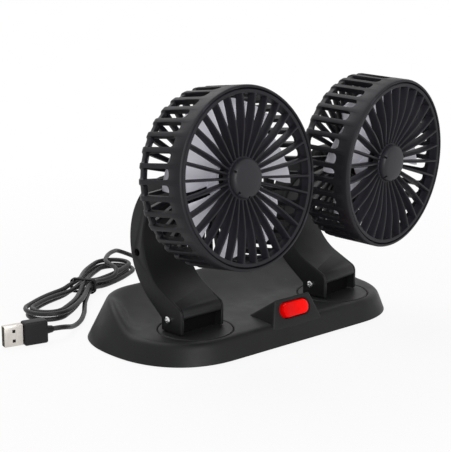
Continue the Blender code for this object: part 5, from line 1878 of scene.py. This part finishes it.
@dataclass
class Cord:
    """The cord: a lead from the gland, a hank held by a tie, and a short tail to the plug."""

    radius: float = 0.00145
    lie: float = 0.0016
    gland: Triple = (0.012, 0.0573, 0.0064)
    centre: Pair = (-0.036, 0.110)
    angle: float = math.radians(31.5)
    half_length: float = 0.066
    fold: float = 0.0087
    step: float = 0.0039
    layer: float = 0.0039
    loops: int = 3
    draw: float = 0.0079
    waist: float = 0.024
    lift: float = 0.0014
    lift_length: float = 0.011
    run_share: float = 7 / 24
    start: float = 0.018
    tie_width: float = 0.0034
    tie_thickness: float = 0.0009
    lead_route: tuple[Triple, ...] = (
        (0.0135, 0.0720, 0.0044),
        (0.0190, 0.0900, 0.0021),
        (0.0270, 0.1100, 0.0016),
        (0.0345, 0.1310, 0.0016),
        (0.0385, 0.1480, 0.0019),
        (0.0375, 0.1570, 0.0032),
        (0.0315, 0.1603, 0.0060),
    )
    over_hank: tuple[Triple, ...] = (
        (0.0730, 0.0075, 0.0084),
        (0.0580, 0.0060, 0.0091),
        (0.0450, 0.0015, 0.0091),
        (0.0370, -0.0060, 0.0090),
        (0.0310, -0.0112, 0.0082),
        (0.0250, -0.0124, 0.0062),
    )
    tail_route: tuple[Triple, ...] = (
        (-0.0540, 0.0820, 0.0016),
        (-0.0635, 0.0695, 0.0016),
        (-0.0748, 0.0580, 0.0016),
        (-0.0840, 0.0510, 0.0026),
    )

    @property
    def placing(self) -> Matrix:
        """The turn and move that lay the hank down."""
        return Matrix.Translation((*self.centre, 0)) @ Matrix.Rotation(self.angle, 4, "Z")

    @property
    def straight(self) -> float:
        """Half the length between the centres of the hank's folds."""
        return self.half_length - self.fold - self.step * self.loops / 2

    def ends(self) -> Pair:
        """The phases, in loops, at which the hank starts and ends."""
        share = self.start / self.straight
        return self.run_share * (1 - share) / 2, self.loops + self.run_share * (1 + share) / 2

    def hank_point(self, phase: float) -> Vector:
        """A point of the hank in its own frame.

        Args:
            phase: The phase, counted in loops.

        Returns:
            The point.
        """
        from_middle = phase - sum(self.ends()) / 2
        width = self.fold + self.step * abs(from_middle)
        share = phase % 1
        side = -1 if share < 1 / 2 else 1
        along = share % (1 / 2)
        if along < self.run_share:
            u = self.straight * (1 - along / self.run_share * 2) * -side
            v = side * width
        else:
            turn = math.pi * (along - self.run_share) / (1 / 2 - self.run_share)
            u = side * (self.straight + width * math.sin(turn))
            v = side * width * math.cos(turn)
        v -= side * self.draw * math.exp(-((u / self.waist) ** 2))
        climb = smooth_step(1 / 2 - from_middle / self.run_share)
        rise = self.lift * math.exp(-((u / self.lift_length) ** 4))
        return Vector((u, v, self.lie + self.layer * climb + rise))

    def hank(self, per_loop: int = 72) -> list[Vector]:
        """The hank's route in its own frame, its ends straight for as long as the cord is thick.

        Args:
            per_loop: The number of points a loop.

        Returns:
            The points.
        """
        start, end = self.ends()
        short = self.run_share * self.radius / self.straight
        steps = range(math.ceil((start + short) * per_loop), int((end - short) * per_loop) + 1)
        phases = [start, start + short, *[step / per_loop for step in steps], end - short, end]
        return [self.hank_point(phase) for phase in phases]

    def eased(self, route: Sequence[Vector], spacing: float = 0.0022) -> list[Vector]:
        """A route's straight end pieces, and points on a smooth curve between them.

        Args:
            route: The route's points.
            spacing: The distance between points.

        Returns:
            The points.
        """
        knots = route[1:-1]
        ways = [(route[1] - route[0]).normalized()]
        for before, here, after in zip(knots, knots[1:], knots[2:]):
            back, on = here - before, after - here
            near, far = back.length, on.length
            ways.append((back * (far / near) + on * (near / far)) / (near + far))
        ways.append((route[-1] - route[-2]).normalized())
        points = [route[0]]
        for start, end, way_in, way_out in zip(knots, knots[1:], ways, ways[1:]):
            reach = (end - start).length
            steps = max(2, round(reach / spacing))
            for step in range(steps):
                t = step / steps
                near = start * (t**3 * 2 - t**2 * 3 + 1) + way_in * reach * (t**3 - t**2 * 2 + t)
                points.append(near + end * (t**2 * 3 - t**3 * 2) + way_out * reach * (t**3 - t**2))
        return [*points, knots[-1], route[-1]]

    def route(self, plug_end: Vector, plug_way: Vector) -> list[Vector]:
        """The whole cord's points, from the gland to the plug.

        Args:
            plug_end: Where the cord meets the plug.
            plug_way: The way that the plug points.

        Returns:
            The points.
        """
        placed, short = self.placing, self.radius * 2
        hank = [placed @ point for point in self.hank()]
        gland = Vector(self.gland)
        way_in, way_out = (hank[1] - hank[0]).normalized(), (hank[-1] - hank[-2]).normalized()
        lead = [gland, gland + Vector((0, short, 0)), *[Vector(point) for point in self.lead_route]]
        lead += [placed @ Vector(point) for point in self.over_hank]
        lead += [hank[0] - way_in * short, hank[0]]
        tail = [hank[-1], hank[-1] + way_out * short, *[Vector(point) for point in self.tail_route]]
        tail += [plug_end - plug_way * short, plug_end]
        return self.eased(lead)[:-1] + hank + self.eased(tail)[1:]

    def build(self, plug: "Plug") -> None:
        """Args:
            plug: The plug at the cord's far end.
        """
        points = self.route(plug.back - plug.way * (plug.neck + FIT), plug.way)
        curve = bpy.data.curves.new("cord", "CURVE")
        curve.dimensions = "3D"
        curve.bevel_depth = self.radius
        curve.bevel_resolution = 5
        curve.use_fill_caps = True
        spline = curve.splines.new("POLY")
        spline.points.add(len(points) - 1)
        for spline_point, point in zip(spline.points, points):
            spline_point.co = (*point, 1)
        cord = bpy.data.objects.new("cord", curve)
        bpy.context.collection.objects.link(cord)
        finished(cord, SLEEVE, "base", ["cord_lead", "cord_hank", "cord_tail"])
        tie = self.build_tie()
        pieces = plug.build()
        length = sum((end - start).length for start, end in zip(points, points[1:]))
        LOG.info("cord length %.3f m", length)
        tuple(self.gland)

    def build_tie(self) -> Piece:
        """Make the soft tie round the hank's waist.

        Returns:
            The tie.
        """
        width, thick = self.tie_width, self.tie_thickness
        inside = [point for point in self.hank(360) if abs(point.x) < width / 2]
        room = self.radius + FIT
        low = (min(point.y for point in inside) - room, min(point.z for point in inside) - room)
        high = (max(point.y for point in inside) + room, max(point.z for point in inside) + room)
        inner = rounded_outline(low, high, self.radius)
        lower, upper = (low[0] - thick, low[1] - thick), (high[0] + thick, high[1] + thick)
        outer = rounded_outline(lower, upper, self.radius + thick)
        bm = bmesh.new()
        loops = [
            [bm.verts.new((along, *pair)) for pair in outline]
            for along in (-width / 2, width / 2)
            for outline in (outer, inner)
        ]
        for one, other in ((0, 1), (1, 3), (3, 2), (2, 0)):
            belt(bm, loops[one], loops[other])
        tie = formed("hank_tie_form", bm, self.placing)
        soften(tie, 0.0003, 3, 50)
        return finished(tie, MATT, "base", ["hank_tie"])


@dataclass
class Plug:
    """The plug on its edge: moulded body, open metal shell with windows, and the tongue in it."""

    x: float = -0.107
    y: float = 0.0451
    angle: float = math.radians(168)
    length: float = 0.014
    height: float = 0.0134
    thickness: float = 0.0074
    shell_length: float = 0.0113
    shell_height: float = 0.012
    shell_thickness: float = 0.0045
    sheet: float = 0.0003
    neck: float = 0.004
    window_half: float = 0.0009
    window_z: float = 0.0028
    contact_places: tuple[float, ...] = (-0.0035, -0.001, 0.001, 0.0035)
    contact_length: float = 0.0055
    contact_half: float = 0.0005

    @property
    def window_x(self) -> float:
        """Where the windows' middles lie along the plug."""
        return self.length + FIT + self.shell_length / 2

    @property
    def back(self) -> Vector:
        """The middle of the body's back face."""
        return Vector((self.x, self.y, self.height / 2))

    @property
    def way(self) -> Vector:
        """The way that the plug points."""
        return Vector((math.cos(self.angle), math.sin(self.angle), 0))

    @property
    def placing(self) -> Matrix:
        """The plug's frame: X points to its tip."""
        return Matrix.Translation(self.back) @ Matrix.Rotation(self.angle, 4, "Z")

    def build(self) -> list[Piece]:
        """Make the plug's pieces.

        Returns:
            The pieces.
        """
        half_thick, half_high = self.thickness / 2, self.height / 2
        block = box((0, -half_thick, -half_high), (self.length, half_thick, half_high))
        body = formed("plug_body_form", block, self.placing)
        soften(body, 0.0012, 5, 60)
        end = -self.neck
        neck = [(0, end), (0.00175, end), (0.002, end + 0.0005), (0.0026, 0.0012), (0, 0.0012)]
        combine(body, turned(neck, Axis.X, 32), Operation.JOIN)
        finished(body, PLUG_GREY, "base", ["plug_body"])
        shell = self.build_shell()
        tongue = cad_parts["plug_tongue"]
        dress_nodes(["plug_tongue"], WHITE)
        return [body, shell, tongue, self.build_painted_window_shade(), self.build_contacts()]

    def build_shell(self) -> Piece:
        """Make the folded metal shell.

        Returns:
            The shell.
        """
        start = self.length + FIT
        end = start + self.shell_length
        thick, high, sheet = self.shell_thickness / 2, self.shell_height / 2, self.sheet
        block = box((start, -thick, -high), (end, thick, high))
        shell = formed("plug_shell_form", block, self.placing)
        soften(shell, 0.0005, 3, 60)
        low = (start + sheet, sheet - thick, sheet - high)
        combine(shell, box(low, (end + OVERRUN, thick - sheet, high - sheet)), Operation.CUT)
        middle, half, past = self.window_x, self.window_half, thick + OVERRUN
        windows = [
            box((middle - half, -past, z - half), (middle + half, past, z + half))
            for z in (-self.window_z, self.window_z)
        ]
        combine(shell, merged(windows), Operation.CUT)
        return finished(shell, SHELL_STEEL, "base", ["plug_shell"], math.radians(50))

    def build_painted_window_shade(self) -> Piece:
        """Make the dark sheets of painted shade behind the shell's windows.

        Returns:
            The sheets of painted shade.
        """
        middle, wall = self.window_x, self.shell_thickness / 2 - self.sheet
        along, across, up = 0.0016, 0.0001, 0.0014
        strips = [
            box((middle - along, y - across, z - up), (middle + along, y + across, z + up))
            for y in (-wall, wall)
            for z in (-self.window_z, self.window_z)
        ]
        # Painted shade: matt black sheets inside the windows stand in for the shade in the shell's
        # cavity.
        painted_shade_sheets = formed("plug_window_painted_shade", merged(strips), self.placing)
        return finished(painted_shade_sheets, MATT, "base")

    def build_contacts(self) -> Piece:
        """Make the four contacts on the tongue.

        Returns:
            The contacts.
        """
        start = self.length + FIT + self.sheet + FIT + 0.002
        end, half = start + self.contact_length, self.contact_half
        face = self.shell_thickness / 2 - self.sheet - FIT - 0.0018
        strips = [
            box((start, face - 0.00012, z - half), (end, face - 0.00002, z + half))
            for z in self.contact_places
        ]
        contacts = formed("plug_contacts", merged(strips), self.placing)
        return finished(contacts, CONTACT, "base")


# Studio


class StudioTree(Tree):
    """A floor's or world's tree, which shows the camera something else than it lights with."""

    def __init__(self, owner: bpy.types.Material | bpy.types.World) -> None:
        """Start with an empty tree.

        Args:
            owner: The material or the world.
        """
        super().__init__(owner)
        self.tree.nodes.clear()

    def seen(self) -> Socket:
        """One for rays of the camera, of a reflection and through glass, and nought for the rest.

        Returns:
            The value.
        """
        path = self.add("ShaderNodeLightPath")
        found = path.outputs["Is Camera Ray"]
        for kind in ("Is Glossy Ray", "Is Transmission Ray"):
            either = self.add("ShaderNodeMath", operation="MAXIMUM")
            self.feed(either.inputs[0], found)
            self.feed(either.inputs[1], path.outputs[kind])
            found = either.outputs["Value"]
        return found

    def show(
        self, share: Socket, first: bpy.types.Node, second: bpy.types.Node, kind: str
    ) -> None:
        """Send a mix of two shaders to the tree's output.

        Args:
            share: How much of the second shows.
            first: The first shader's node.
            second: The second shader's node.
            kind: Blender's name for the output node.
        """
        mixed = self.add("ShaderNodeMixShader")
        for socket, value in zip(mixed.inputs, (share, first.outputs[0], second.outputs[0])):
            self.feed(socket, value)
        self.feed(self.add(kind).inputs["Surface"], mixed.outputs["Shader"])


@dataclass
class Studio:
    """A pale floor, soft lights and the camera at the photograph's angle."""

    camera_place: Triple = (-0.5110, -0.5634, 0.2415)
    look: Triple = (0.6446, 0.7277, -0.2348)
    lens: float = 107.2
    sensor: float = 36.0
    surround: float = 0.3
    floor_half: float = 8.0
    floor_height: float = -0.0002
    floor_colour: tuple[float, ...] = (0.86, 0.86, 0.86, 1.0)
    shadow_reach: Pair = (0.16, 0.5)
    white_share: Pair = (0.9, 1.0)

    def build(self) -> None:
        """Set up floor, world, lights, camera and view."""
        bpy.context.scene.view_settings.view_transform = "Standard"
        self.build_camera()
        self.build_floor()
        self.build_world()
        self.build_lamp("top_softbox", (0.0, 0.45, 0.95), (0.0, 0.0, 0.05), 0.9, 6.0)
        self.build_lamp("front_softbox", (-0.35, -1.2, 0.45), (0.0, 0.0, 0.09), 0.8, 10.0)

    def build_camera(self) -> None:
        """Place the camera."""
        data = bpy.data.cameras.new("camera")
        data.lens, data.sensor_width = self.lens, self.sensor
        data.clip_start, data.clip_end = 0.01, 50.0
        camera = bpy.data.objects.new("camera", data)
        camera.location = self.camera_place
        camera.rotation_mode = "QUATERNION"
        camera.rotation_quaternion = Vector(self.look).to_track_quat("-Z", "Y")
        bpy.context.collection.objects.link(camera)
        bpy.context.scene.camera = camera

    def build_floor(self) -> None:
        """Lay the pale floor, which shows white to the camera but keeps a soft shadow."""
        bm = bmesh.new()
        half, height = self.floor_half, self.floor_height
        corners = [(x * half, y * half, height) for x, y in ((-1, -1), (1, -1), (1, 1), (-1, 1))]
        bm.faces.new([bm.verts.new(corner) for corner in corners])
        mesh = bpy.data.meshes.new("floor")
        bm.to_mesh(mesh)
        bm.free()
        floor = bpy.data.objects.new("floor", mesh)
        bpy.context.collection.objects.link(floor)
        material = bpy.data.materials.new("pale_floor")
        tree = StudioTree(material)
        diffuse, glow = tree.add("ShaderNodeBsdfDiffuse"), tree.add("ShaderNodeEmission")
        tree.feed(diffuse.inputs["Color"], self.floor_colour)
        distance = tree.add("ShaderNodeVectorMath", operation="LENGTH")
        tree.feed(distance.inputs[0], tree.add("ShaderNodeNewGeometry").outputs["Position"])
        share = tree.add("ShaderNodeMath", operation="MULTIPLY")
        tree.feed(share.inputs[0], tree.seen())
        fade = tree.between(distance.outputs["Value"], self.shadow_reach, self.white_share)
        tree.feed(share.inputs[1], fade)
        tree.show(share.outputs["Value"], diffuse, glow, "ShaderNodeOutputMaterial")
        floor.data.materials.append(material)

    def build_world(self) -> None:
        """Light softly from all sides, and show white to the camera and in reflections."""
        world = bpy.data.worlds.new("studio")
        tree = StudioTree(world)
        dim, white = tree.add("ShaderNodeBackground"), tree.add("ShaderNodeBackground")
        for background in (dim, white):
            tree.feed(background.inputs["Color"], PLAIN_WHITE)
        tree.feed(dim.inputs["Strength"], self.surround)
        tree.show(tree.seen(), dim, white, "ShaderNodeOutputWorld")
        bpy.context.scene.world = world

    def build_lamp(
        self, name: str, place: Triple, target: Triple, size: float, energy: float
    ) -> None:
        """Hang one soft lamp.

        Args:
            name: Its name.
            place: Where it hangs.
            target: What it looks at.
            size: Its width.
            energy: Its power, in watts.
        """
        data = bpy.data.lights.new(name, "AREA")
        data.size, data.energy = size, energy
        lamp = bpy.data.objects.new(name, data)
        lamp.location = place
        lamp.rotation_mode = "QUATERNION"
        lamp.rotation_quaternion = (Vector(target) - Vector(place)).to_track_quat("-Z", "Y")
        bpy.context.collection.objects.link(lamp)


def main() -> None:
    """Build the studio and the fan."""
    logging.basicConfig(level=logging.INFO, format="%(message)s")
    Studio().build()
    Cord().build(Plug())
    base = Base()
    base.build()
    Rocker().build(base.rocker_frame())
    stands = [
        Stand(Side.LEFT, -0.054, math.radians(2), math.radians(7.2)),
        Stand(Side.RIGHT, 0.054, math.radians(8), math.radians(-2)),
    ]
    drum = Drum()
    for stand in stands:
        Turntable(stand).build()
        Arm(stand).build()
        Head(stand, drum).build()


if __name__ == "__main__":
    main()
